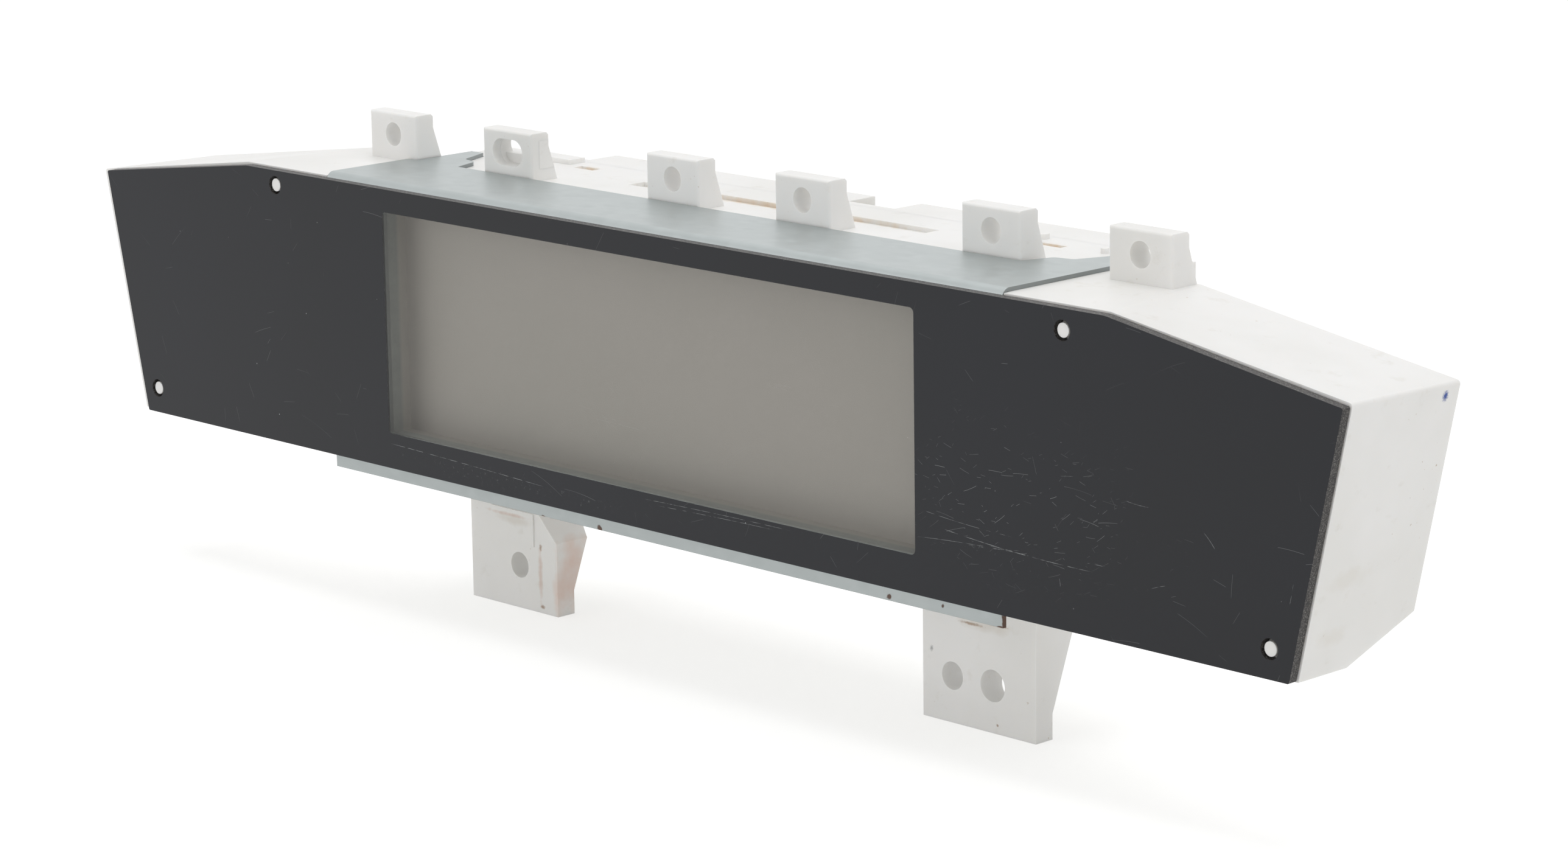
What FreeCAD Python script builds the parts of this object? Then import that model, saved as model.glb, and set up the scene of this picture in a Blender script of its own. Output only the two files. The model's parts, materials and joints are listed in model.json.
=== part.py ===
"""Dashboard information display: black-masked acrylic panel, steel bracket, white moulded housing.

Millimetres. The origin is the centre of the viewing window on the panel's front face.
X runs to the right as the driver sees it, Y runs back into the dashboard, Z is up.
"""
import FreeCAD, Part
import Sketcher
import math
import os
import re

Vector = FreeCAD.Vector

# Driving sizes. A margin, gap or inset is measured from the neighbour that it names.
SIZES = {
    "window_width": 150.0,
    "window_height": 45.9,
    "clearance": 0.2,
    # front panel
    "panel_thickness": 2.0,
    "panel_play": 0.04,
    "panel_top_margin": 0.3,
    "panel_bottom_margin": 0.15,
    "panel_left_margin": 3.75,
    "panel_right_margin": 0.3,
    "panel_left_bend_shift": 2.0,
    "panel_right_bend_shift": 0.4,
    "panel_left_rise": 0.6,
    "panel_right_dip": 0.2,
    "panel_bend_radius": 9.0,
    "panel_corner_radius": 0.4,
    "panel_tape_thickness": 0.2,
    "panel_tape_border": 3.0,
    # pegs that locate the panel, and the holes they stand in
    "peg_diameter": 2.7,
    "peg_recess": 0.3,
    "peg_hole_diameter": 3.85,
    "upper_left_peg_inset": 11.6,
    "upper_right_peg_inset": 9.4,
    "upper_left_peg_drop": 3.4,
    "upper_right_peg_drop": 4.25,
    "lower_left_peg_inset": 7.3,
    "lower_right_peg_inset": 4.6,
    "lower_peg_rise": 5.5,
    # housing: the box behind the window and a wing on each side
    "housing_top_margin": 5.0,
    "housing_bottom_margin": 7.5,
    "box_side_margin": 20.0,
    "box_wall": 1.6,
    "box_top_wall": 1.5,
    "left_wing_flat": 26.4,
    "right_wing_flat": 25.5,
    "left_wing_slope": 50.9,
    "right_wing_slope": 53.5,
    "left_wing_drop": 7.05,
    "right_wing_drop": 8.45,
    "left_wing_lean": 11.3,
    "right_wing_lean": 10.9,
    "wing_depth": 29.2,
    "wing_wall": 2.5,
    "wing_draft": 1.4,
    "wing_edge_radius": 0.7,
    "wing_cut_start": 12.8,
    "wing_cut_rise": 7.2,
    "wing_rib": 1.8,
    "wing_rib_setback": 5.0,
    "column_width": 8.3,
    "column_height": 9.0,
    "column_bore": 2.6,
    # upper lugs
    "lug_gap": 0.4,
    "lug_width": 15.0,
    "lug_height": 9.85,
    "lug_thickness": 4.6,
    "lug_flare_height": 7.0,
    "lug_flare_depth": 2.2,
    "lug_chamfer": 0.5,
    "lug_hole_diameter": 5.0,
    "lug_hole_height": 5.35,
    "lug_slot_length": 9.2,
    "lug_slot_width": 5.5,
    "lug_slot_wall": 2.5,
    "lug_slot_relief": 2.4,
    "lug_edge_radius": 0.5,
    "lug_pair_pitch": 36.4,
    "lug_group_inset": 9.2,
    "lug_shift": 3.75,
    "lug_block_width": 3.7,
    "lug_block_height": 3.95,
    "lug_block_inset": 0.6,
    "lug_block_step": 0.9,
    # lower tabs
    "tab_drop": 32.15,
    "tab_straight": 5.0,
    "tab_gusset_depth": 10.2,
    "left_tab_inset": 29.8,
    "left_tab_width": 26.8,
    "right_tab_inset": 27.25,
    "right_tab_width": 29.1,
    "tab_corner_cut": 5.3,
    "tab_corner_drop": 11.35,
    "tab_hole_drop": 22.95,
    "tab_hole_diameter": 5.5,
    "tab_wide_hole_diameter": 6.3,
    "left_tab_hole_shift": 1.75,
    "right_tab_hole_shift": 6.85,
    "right_tab_wide_hole_shift": 3.55,
    "tab_pad_width": 13.0,
    "tab_pad_height": 7.0,
    "tab_pad_relief": 0.3,
    # small forms on the top of the box; each setback runs forward from the box's back
    "groove_depth": 0.9,
    "long_groove_left": 39.7,
    "long_groove_right": 43.4,
    "long_groove_setback": 13.3,
    "long_groove_width": 4.3,
    "right_groove_inset": 28.6,
    "right_groove_length": 6.6,
    "right_groove_setback": 7.5,
    "right_groove_width": 1.9,
    "left_groove_inset": 31.0,
    "left_groove_length": 5.8,
    "left_groove_setback": 6.4,
    "left_groove_width": 2.2,
    "top_pad_height": 1.0,
    "left_pad_inset": 15.5,
    "left_pad_length": 12.5,
    "left_pad_setback": 4.8,
    "left_pad_width": 4.2,
    "stud_inset": 31.2,
    "stud_setback": 2.4,
    "stud_diameter": 2.8,
    "knob_inset": 12.2,
    "knob_setback": 6.0,
    "knob_diameter": 1.6,
    # steel bracket
    "sheet": 0.8,
    "bracket_lip": 2.95,
    "bracket_bend_radius": 1.0,
    "bracket_top_depth": 21.9,
    "bracket_window_margin": 1.9,
    "bracket_window_sill": 0.65,
    "ear_gap": 0.3,
    "ear_step_width": 8.0,
    "ear_shelf_length": 7.3,
    "ear_length": 15.1,
    "ear_radius": 1.6,
    "hook_width": 3.0,
    "hook_inset": 3.2,
    "hook_length": 4.0,
    # layers behind the window, front to back
    "gasket_thickness": 4.7,
    "film": 0.2,
    "glass": 1.1,
    "glass_border": 5.0,
    "glass_top_border": 1.75,
    "film_border": 0.5,
    "contact_ledge": 2.4,
    "contact_width": 2.2,
    "diffuser_thickness": 0.5,
    "guide_thickness": 3.8,
    "guide_border": 2.0,
    "lamp_width": 2.4,
    "lamp_height": 5.0,
    "lamp_seat": 0.3,
    "holder_wall": 3.3,
    "holder_lip": 1.4,
    # boards
    "board": 1.6,
    "board_gap": 16.3,
    "board_side_gap": 1.5,
    "board_edge_gap": 1.6,
    "rear_room": 14.7,
    "spacer_diameter": 5.5,
    "spacer_inset": 6.0,
    # rear cover
    "cover_thickness": 2.2,
    "cover_block_left_inset": 26.3,
    "cover_block_right_inset": 10.5,
    "cover_block_depth": 7.6,
    "cover_block_rise": 6.0,
    "cover_notch_centre": 14.0,
    "cover_notch_width": 12.8,
    "vent_count": 8,
    "vent_inset": 13.7,
    "vent_spacing": 5.0,
    "vent_width": 2.0,
    "vent_height": 18.0,
    # parts on the boards
    "driver_width": 18.0,
    "driver_height": 8.0,
    "driver_thickness": 2.4,
    "driver_spacing": 48.0,
    "controller_size": 18.0,
    "controller_thickness": 3.0,
    "controller_left": 34.0,
    "low_row_rise": 12.0,
    "crystal_length": 11.0,
    "crystal_width": 4.6,
    "crystal_height": 3.6,
    "crystal_left": 14.0,
    "capacitor_inset": 8.5,
    "capacitor_spacing": 11.0,
    "capacitor_diameter": 8.0,
    "capacitor_length": 16.0,
    "choke_inset": 27.6,
    "choke_rise": 8.0,
    "choke_diameter": 13.0,
    "choke_height": 10.0,
    "choke_hollow": 5.2,
    "regulator_left": 34.0,
    "regulator_width": 10.4,
    "regulator_height": 12.0,
    "regulator_thickness": 4.6,
    "link_length": 40.0,
    "link_width": 5.0,
    # connectors
    "main_connector_drop": 4.0,
    "main_connector_rise": 20.0,
    "main_connector_recess": 0.8,
    "side_connector_gap": 2.6,
    "side_connector_width": 11.2,
    "side_connector_drop": 10.0,
    "side_connector_rise": 8.0,
    "side_connector_reach": 5.0,
    "connector_play": 0.6,
    "socket_depth": 9.0,
    "socket_wall": 1.4,
    "pin_size": 0.64,
    "pin_length": 4.5,
    "pin_spacing": 2.5,
    # screws
    "screw_diameter": 3.0,
    "screw_thread_depth": 0.25,
    "screw_length": 7.5,
    "screw_head_across": 5.5,
    "screw_head_height": 2.0,
}

doc = FreeCAD.newDocument("information_display")
sheet = doc.addObject("Spreadsheet::Sheet", "sizes")
for row, (alias, size) in enumerate(SIZES.items(), start=1):
    sheet.set(f"A{row}", alias)
    sheet.set(f"B{row}", str(size))
    sheet.setAlias(f"B{row}", alias)
doc.recompute()

# Depths that several pieces share, as formulas on the sheet.
WING_FRONT = "(panel_thickness + panel_tape_thickness)"
WING_BACK = f"({WING_FRONT} + wing_depth)"
BOX_FRONT = "(panel_thickness + sheet)"
GLASS_FRONT = f"({BOX_FRONT} + gasket_thickness + film)"
REAR_GLASS = f"({GLASS_FRONT} + glass)"
DIFFUSER = f"({REAR_GLASS} + glass + film)"
GUIDE = f"({DIFFUSER} + diffuser_thickness)"
BOARD_FRONT = f"({GUIDE} + guide_thickness + film)"
BOARD_BACK = f"({BOARD_FRONT} + board)"
MAIN_FRONT = f"({BOARD_BACK} + board_gap)"
MAIN_BACK = f"({MAIN_FRONT} + board)"
BOX_BACK = f"({MAIN_BACK} + rear_room)"
BOX_DEPTH = f"({BOX_BACK} - {BOX_FRONT})"
COVER_BACK = f"({BOX_BACK} + cover_thickness)"
BLOCK_BACK = f"({COVER_BACK} + cover_block_depth)"
SHELF_BACK = "(panel_thickness + bracket_top_depth)"
LUG_FRONT = f"({SHELF_BACK} + lug_gap)"
LUG_BACK = f"({LUG_FRONT} + lug_thickness)"
HOOK_BACK = f"({SHELF_BACK} + ear_length)"

# Heights and half widths.
TOP = "(window_height / 2 + housing_top_margin)"
BOTTOM = "(-(window_height / 2 + housing_bottom_margin))"
INNER_TOP = f"({TOP} - box_top_wall)"
INNER_BOTTOM = f"({BOTTOM} + box_wall)"
BOX_HALF = "(window_width / 2 + box_side_margin)"
INNER_HALF = f"({BOX_HALF} - box_wall)"
GLASS_HALF = "(window_width / 2 + glass_border)"
GLASS_TOP = "(window_height / 2 + glass_top_border)"
GLASS_BOTTOM = f"(-({GLASS_TOP} + contact_ledge))"
BOARD_HALF = f"({INNER_HALF} - column_width - board_side_gap)"
BLOCK_LEFT = f"(-({BOX_HALF} - cover_block_left_inset))"
BLOCK_RIGHT = f"({BOX_HALF} - cover_block_right_inset)"
LOW_ROW = f"({BOTTOM} + cover_block_rise + cover_thickness + low_row_rise / 2)"

# Each wing: its side, and the names and signs of its sizes.
LEFT_BEND = f"(-({BOX_HALF} + left_wing_flat))"
RIGHT_BEND = f"({BOX_HALF} + right_wing_flat)"
LEFT_CORNER = f"({LEFT_BEND} - left_wing_slope)"
RIGHT_CORNER = f"({RIGHT_BEND} + right_wing_slope)"
LEFT_FOOT = f"({LEFT_CORNER} + left_wing_lean)"
RIGHT_FOOT = f"({RIGHT_CORNER} - right_wing_lean)"
WINGS = [(-1, LEFT_FOOT, LEFT_CORNER, LEFT_BEND, f"({TOP} - left_wing_drop)"),
         (1, RIGHT_FOOT, RIGHT_CORNER, RIGHT_BEND, f"({TOP} - right_wing_drop)")]

PEGS = [(f"({LEFT_BEND} + upper_left_peg_inset)", f"({TOP} - upper_left_peg_drop)"),
        (f"({RIGHT_BEND} - upper_right_peg_inset)", f"({TOP} - upper_right_peg_drop)"),
        (f"({LEFT_FOOT} + lower_left_peg_inset)", f"({BOTTOM} + lower_peg_rise)"),
        (f"({RIGHT_FOOT} - lower_right_peg_inset)", f"({BOTTOM} + lower_peg_rise)")]

LUGS = [f"(lug_shift + ({group}) * ({BOX_HALF} - lug_group_inset) + ({half}) * lug_pair_pitch)"
        for group in (-1, 0, 1) for half in (-0.5, 0.5)]
SLOTTED_LUG = LUGS[1]

COLUMNS = [(f"(({side}) * ({INNER_HALF} - column_width / 2))", level)
           for side in (-1, 1)
           for level in (f"({INNER_TOP} - column_height / 2)", f"({INNER_BOTTOM} + column_height / 2)")]

# Each connector: left, right, bottom, top and back.
CONNECTORS = {
    "main_connector": ("(cover_notch_centre - cover_notch_width / 2 + connector_play)",
                       "(cover_notch_centre + cover_notch_width / 2 - connector_play)",
                       "(-main_connector_drop)", "main_connector_rise",
                       f"({BLOCK_BACK} - main_connector_recess)"),
    "side_connector": (f"({BLOCK_LEFT} - side_connector_gap - side_connector_width)",
                       f"({BLOCK_LEFT} - side_connector_gap)",
                       "(-side_connector_drop)", "side_connector_rise",
                       f"({COVER_BACK} + side_connector_reach)"),
}


def on_sheet(formula):
    """The formula with each size written as a reference to the sheet."""
    return re.sub(r"[a-z_]+", lambda word: f"sizes.{word[0]}" if word[0] in SIZES else word[0], str(formula))


def number(formula):
    """What a formula comes to with the present sizes."""
    result = sheet.evalExpression(on_sheet(formula))
    return float(getattr(result, "Value", result))


def near(one, other, slack=0.01):
    return abs(one - other) < slack


def rectangle(left, bottom, right, top):
    return [(left, bottom), (right, bottom), (right, top), (left, top)]


def spread(side, inner, outer, low, high):
    """A rectangle between two distances from the middle, on the left (-1) or on the right (1)."""
    left, right = (f"-({outer})", f"-({inner})") if side < 0 else (inner, outer)
    return rectangle(left, low, right, high)


def new_body(name):
    body = doc.addObject("PartDesign::Body", name)
    body.Label = name
    return body


def origin_feature(body, role):
    return [item for item in body.Origin.OriginFeatures if item.Role == role][0]


def new_sketch(body, plane, depth):
    """A sketch on one of the body's planes, moved along Y (XZ), X (YZ) or Z (XY) to the given depth."""
    sketch = body.newObject("Sketcher::SketchObject", f"{body.Name}_sketch")
    sketch.AttachmentSupport = [(origin_feature(body, f"{plane}_Plane"), "")]
    sketch.MapMode = "FlatFace"
    sign = "-" if plane == "XZ" else ""
    sketch.setExpression("AttachmentOffset.Base.z", on_sheet(f"{sign}({depth})"))
    return sketch


def bind(sketch, kind, *where):
    """Adds a constraint whose value is a formula, the last argument."""
    *place, formula = where
    index = sketch.addConstraint(Sketcher.Constraint(kind, *place, number(formula)))
    sketch.setExpression(f"Constraints[{index}]", on_sheet(formula))


def draw_outline(sketch, corners):
    """Straight lines through the corners, each corner held by two formulas."""
    points = [Vector(number(across), number(up), 0) for across, up in corners]
    first = sketch.GeometryCount
    for start, end in zip(points, points[1:] + points[:1]):
        sketch.addGeometry(Part.LineSegment(start, end), False)
    for index, (across, up) in enumerate(corners):
        line = first + index
        before = first + (index - 1) % len(corners)
        sketch.addConstraint(Sketcher.Constraint("Coincident", before, 2, line, 1))
        bind(sketch, "DistanceX", line, 1, across)
        bind(sketch, "DistanceY", line, 1, up)


def draw_circle(sketch, across, up, diameter):
    centre = Vector(number(across), number(up), 0)
    circle = sketch.addGeometry(Part.Circle(centre, Vector(0, 0, 1), number(diameter) / 2), False)
    bind(sketch, "DistanceX", circle, 3, across)
    bind(sketch, "DistanceY", circle, 3, up)
    bind(sketch, "Diameter", circle, diameter)


def draw_slot(sketch, across, up, length, width):
    """A slot with round ends: two half circles joined by two tangent lines."""
    radius = number(width) / 2
    reach = (number(length) - number(width)) / 2
    middle = Vector(number(across), number(up), 0)
    right = middle + Vector(reach, 0, 0)
    left = middle - Vector(reach, 0, 0)
    rise = Vector(0, radius, 0)
    axis = Vector(0, 0, 1)
    quarter = math.pi / 2
    end = sketch.addGeometry(Part.ArcOfCircle(Part.Circle(right, axis, radius), -quarter, quarter), False)
    over = sketch.addGeometry(Part.LineSegment(right + rise, left + rise), False)
    start = sketch.addGeometry(Part.ArcOfCircle(Part.Circle(left, axis, radius), quarter, 3 * quarter), False)
    under = sketch.addGeometry(Part.LineSegment(left - rise, right - rise), False)
    for one, other in ((end, over), (over, start), (start, under), (under, end)):
        sketch.addConstraint(Sketcher.Constraint("Tangent", one, 2, other, 1))
    sketch.addConstraint(Sketcher.Constraint("Equal", end, start))
    bind(sketch, "DistanceX", end, 3, f"{across} + ({length} - {width}) / 2")
    bind(sketch, "DistanceX", start, 3, f"{across} - ({length} - {width}) / 2")
    bind(sketch, "DistanceY", end, 3, up)
    bind(sketch, "DistanceY", start, 3, up)
    bind(sketch, "Diameter", end, width)


def draw_all(body, plane, start, outlines, circles, slots):
    sketch = new_sketch(body, plane, start)
    for corners in outlines:
        draw_outline(sketch, corners)
    for circle in circles:
        draw_circle(sketch, *circle)
    for slot in slots:
        draw_slot(sketch, *slot)
    sketch.Visibility = False
    return sketch


def grow(body, plane, start, length, *outlines, circles=()):
    """Adds material to a body: outlines or circles, carried from start along the plane's axis."""
    pad = body.newObject("PartDesign::Pad", f"{body.Name}_pad")
    pad.Profile = draw_all(body, plane, start, outlines, circles, ())
    pad.setExpression("Length", on_sheet(length))
    pad.Reversed = plane == "XZ"
    body.Tip = pad
    return pad


def carve(body, plane, start, length, *outlines, circles=(), slots=()):
    """Takes material away from start, the same way along the plane's axis as grow adds it."""
    pocket = body.newObject("PartDesign::Pocket", f"{body.Name}_pocket")
    pocket.Profile = draw_all(body, plane, start, outlines, circles, slots)
    pocket.setExpression("Length", on_sheet(length))
    pocket.Reversed = plane != "XZ"
    body.Tip = pocket
    return pocket


def chosen_edges(shape, test):
    """The names of the edges with two ends whose ends pass the test."""
    return [f"Edge{index}" for index, edge in enumerate(shape.Edges, start=1)
            if len(edge.Vertexes) == 2 and test(*[vertex.Point for vertex in edge.Vertexes])]


def soften(body, radius, test):
    """Rounds the edges that the test picks."""
    doc.recompute()
    base = body.Tip
    fillet = body.newObject("PartDesign::Fillet", f"{body.Name}_fillet")
    fillet.Base = (base, chosen_edges(base.Shape, test))
    fillet.setExpression("Radius", on_sheet(radius))


def break_rim(body, depth, size):
    """Chamfers every edge that lies in the plane at a depth."""
    doc.recompute()
    base = body.Tip
    face = number(depth)
    names = [f"Edge{index}" for index, edge in enumerate(base.Shape.Edges, start=1)
             if all(near(vertex.Point.y, face) for vertex in edge.Vertexes)]
    chamfer = body.newObject("PartDesign::Chamfer", f"{body.Name}_chamfer")
    chamfer.Base = (base, names)
    chamfer.setExpression("Size", on_sheet(size))


def lean_faces(body, angle, neutral, test):
    """Gives the faces that the test picks a mould's draft, hinged on the neutral face."""
    doc.recompute()
    base = body.Tip
    faces = base.Shape.Faces
    chosen = [f"Face{index}" for index, face in enumerate(faces, start=1) if test(face)]
    hinge = [f"Face{index}" for index, face in enumerate(faces, start=1) if neutral(face)][0]
    draft = body.newObject("PartDesign::Draft", f"{body.Name}_draft")
    draft.Base = (base, chosen)
    draft.NeutralPlane = (base, [hinge])
    draft.setExpression("Angle", on_sheet(angle))
    doc.recompute()


def repeat_along_x(body, feature, *rows):
    """Repeats a feature along X in nested rows, each a count and the distance from first to last."""
    doc.recompute()
    copies = body.newObject("PartDesign::MultiTransform", f"{body.Name}_copies")
    patterns = []
    for count, reach in rows:
        pattern = body.newObject("PartDesign::LinearPattern", f"{body.Name}_row")
        pattern.Direction = (origin_feature(body, "X_Axis"), [""])
        pattern.setExpression("Length", on_sheet(reach))
        pattern.Occurrences = count
        patterns.append(pattern)
    copies.Originals = [feature]
    copies.Transformations = patterns
    body.Tip = copies


def slab(name, start, length, corners):
    """A plate that lies across the depth, from its outline seen from the front."""
    body = new_body(name)
    grow(body, "XZ", start, length, corners)
    return body


def block(name, outline, start, length, edge):
    """A small moulded part on a board, the edges of its far face chamfered."""
    body = slab(name, start, length, outline)
    break_rim(body, f"{start} + {length}", edge)
    return body


def group(name, pieces):
    """Separate solids of one kind under one name."""
    compound = doc.addObject("Part::Compound", name)
    compound.Label = name
    compound.Links = pieces
    return compound


def place_at(item, across, depth, up):
    item.setExpression("Placement.Base.x", on_sheet(across))
    item.setExpression("Placement.Base.y", on_sheet(depth))
    item.setExpression("Placement.Base.z", on_sheet(up))


def box(name, across, depth, up, width, length, height):
    """A plain block from its lower front left corner."""
    item = doc.addObject("Part::Box", name)
    item.setExpression("Length", on_sheet(width))
    item.setExpression("Width", on_sheet(length))
    item.setExpression("Height", on_sheet(height))
    place_at(item, across, depth, up)
    return item


def rod(name, across, depth, up, diameter, length):
    """A cylinder that runs back from its front end."""
    item = doc.addObject("Part::Cylinder", name)
    item.setExpression("Radius", on_sheet(f"({diameter}) / 2"))
    item.setExpression("Height", on_sheet(length))
    item.Placement = FreeCAD.Placement(Vector(), FreeCAD.Rotation(Vector(1, 0, 0), -90))
    place_at(item, across, depth, up)
    return item


def make_panel():
    """Acrylic sheet sawn to six sides, with a hole round each of the housing's pegs."""
    top = f"({TOP} - panel_top_margin)"
    bottom = f"({BOTTOM} + panel_bottom_margin)"
    body = slab("front_panel", "0", "panel_thickness - panel_play", [
        (f"{LEFT_FOOT} + panel_left_margin", bottom),
        (f"{RIGHT_FOOT} - panel_right_margin", bottom),
        (f"{RIGHT_CORNER} - panel_right_margin", f"{top} - right_wing_drop - panel_right_dip"),
        (f"{RIGHT_BEND} + panel_right_bend_shift", top),
        (f"{LEFT_BEND} + panel_left_bend_shift", top),
        (f"{LEFT_CORNER} + panel_left_margin", f"{top} - left_wing_drop + panel_left_rise"),
    ])
    carve(body, "XZ", "0", "panel_thickness",
          circles=[(*peg, "peg_hole_diameter") for peg in PEGS])
    high = number(top)
    right_bend = number(f"{RIGHT_BEND} + panel_right_bend_shift")
    wide = number(f"{RIGHT_BEND} + right_wing_slope / 2")
    soften(body, "panel_bend_radius",
           lambda a, b: near(a.x, b.x) and near(a.x, right_bend) and near(a.z, high) and near(b.z, high))
    soften(body, "panel_corner_radius",
           lambda a, b: near(a.x, b.x) and near(a.z, b.z) and not near(a.y, b.y) and abs(a.x) > wide)
    return body


def make_tapes():
    """Double-sided tape between each wing's front face and the panel, clear of the pegs."""
    low = f"{BOTTOM} + panel_bottom_margin + panel_tape_border"
    high = f"{TOP} - right_wing_drop - 2 * panel_tape_border"
    near_box = f"{BOX_HALF} + panel_tape_border"
    left_end = f"{PEGS[2][0]} + panel_tape_border"
    right_end = f"{PEGS[3][0]} - panel_tape_border"
    return group("panel_tapes", [
        slab("left_tape", "panel_thickness", "panel_tape_thickness",
             rectangle(left_end, low, f"-({near_box})", high)),
        slab("right_tape", "panel_thickness", "panel_tape_thickness",
             rectangle(near_box, low, right_end, high)),
    ])


def add_wings(body):
    """Both wings with their sloping tops, hollow behind, ribbed, and cut away at the lower back."""
    grow(body, "XZ", WING_FRONT, "wing_depth", [
        (LEFT_FOOT, BOTTOM),
        (RIGHT_FOOT, BOTTOM),
        (RIGHT_CORNER, WINGS[1][4]),
        (RIGHT_BEND, TOP),
        (LEFT_BEND, TOP),
        (LEFT_CORNER, WINGS[0][4]),
    ])
    front = number(WING_FRONT)
    lean_faces(body, "wing_draft",
               lambda face: near(face.BoundBox.YMax, front),
               lambda face: near(face.BoundBox.ZMax, number(TOP)) and 1 < face.BoundBox.ZLength < 20)
    middle = number(f"{BOTTOM} + wing_wall")
    bend = number(RIGHT_BEND)
    soften(body, "wing_edge_radius",
           lambda a, b: abs(a.x) > bend and abs(b.x) > bend and a.z > middle and not near(a.y, b.y))
    floor = f"({BOTTOM} + wing_wall)"
    hollows = []
    for side, foot, corner, bend_x, corner_z in WINGS:
        wall = f"({side}) * wing_wall"
        hollows.append([
            (f"({side}) * {BOX_HALF}", floor),
            (f"{foot} - {wall}", floor),
            (f"{corner} - {wall}", f"{corner_z} - wing_wall"),
            (bend_x, f"{TOP} - wing_wall"),
            (f"({side}) * {BOX_HALF}", f"{TOP} - wing_wall"),
        ])
    carve(body, "XZ", f"{WING_FRONT} + wing_wall", "wing_depth - wing_wall", *hollows)
    level_ribs = []
    upright_ribs = []
    for side, foot, corner, bend_x, corner_z in WINGS:
        outer = f"({side}) * ({foot} + {corner}) / 2 - wing_wall"
        upright = f"(({side}) * {bend_x})"
        level_ribs.append(spread(side, f"{BOX_HALF} - box_wall / 2", outer, "-wing_rib / 2", "wing_rib / 2"))
        upright_ribs.append(spread(side, f"{upright} - 1.5 * wing_rib", f"{upright} - wing_rib / 2",
                                   f"{BOTTOM} + wing_wall / 2", f"{TOP} - wing_wall / 2"))
    rib_start = f"{WING_FRONT} + wing_wall / 2"
    rib_depth = "wing_depth - wing_wall / 2 - wing_rib_setback"
    grow(body, "XZ", rib_start, rib_depth, *level_ribs)
    grow(body, "XZ", rib_start, rib_depth, *upright_ribs)
    cut_front = f"{WING_FRONT} + wing_cut_start"
    carve(body, "YZ", LEFT_CORNER, f"{RIGHT_CORNER} - {LEFT_CORNER}", [
        (cut_front, f"{BOTTOM} - wing_wall"),
        (f"{WING_BACK} + wing_wall", f"{BOTTOM} - wing_wall"),
        (f"{WING_BACK} + wing_wall", f"{BOTTOM} + wing_cut_rise"),
        (WING_BACK, f"{BOTTOM} + wing_cut_rise"),
        (cut_front, BOTTOM),
    ])
    grow(body, "YZ", f"{LEFT_FOOT} + wing_wall / 2", f"{RIGHT_FOOT} - {LEFT_FOOT} - wing_wall", [
        (cut_front, BOTTOM),
        (WING_BACK, f"{BOTTOM} + wing_cut_rise"),
        (WING_BACK, f"{BOTTOM} + wing_cut_rise + wing_wall"),
        (cut_front, f"{BOTTOM} + wing_wall"),
    ])


def add_box(body):
    """The box behind the window: open at the front for the display and at the back for the cover."""
    outline = rectangle(f"-{BOX_HALF}", BOTTOM, BOX_HALF, TOP)
    bracket_seat = f"{BOX_HALF} + clearance"
    carve(body, "XZ", WING_FRONT, f"{BOX_FRONT} - {WING_FRONT}",
          rectangle(f"-({bracket_seat})", BOTTOM, bracket_seat, TOP))
    grow(body, "XZ", BOX_FRONT, BOX_DEPTH, outline)
    carve(body, "XZ", BOX_FRONT, BOX_DEPTH, rectangle(f"-{INNER_HALF}", INNER_BOTTOM, INNER_HALF, INNER_TOP))
    columns = []
    for side in (-1, 1):
        inner = f"{INNER_HALF} - column_width"
        outer = f"{BOX_HALF} - box_wall / 2"
        columns.append(spread(side, inner, outer, f"{INNER_TOP} - column_height", f"{TOP} - box_top_wall / 2"))
        columns.append(spread(side, inner, outer, f"{BOTTOM} + box_wall / 2", f"{INNER_BOTTOM} + column_height"))
    grow(body, "XZ", BOARD_BACK, f"{BOX_BACK} - {BOARD_BACK}", *columns)
    carve(body, "XZ", BOARD_BACK, f"{BOX_BACK} - {BOARD_BACK}",
          circles=[(*place, "column_bore") for place in COLUMNS])


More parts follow.
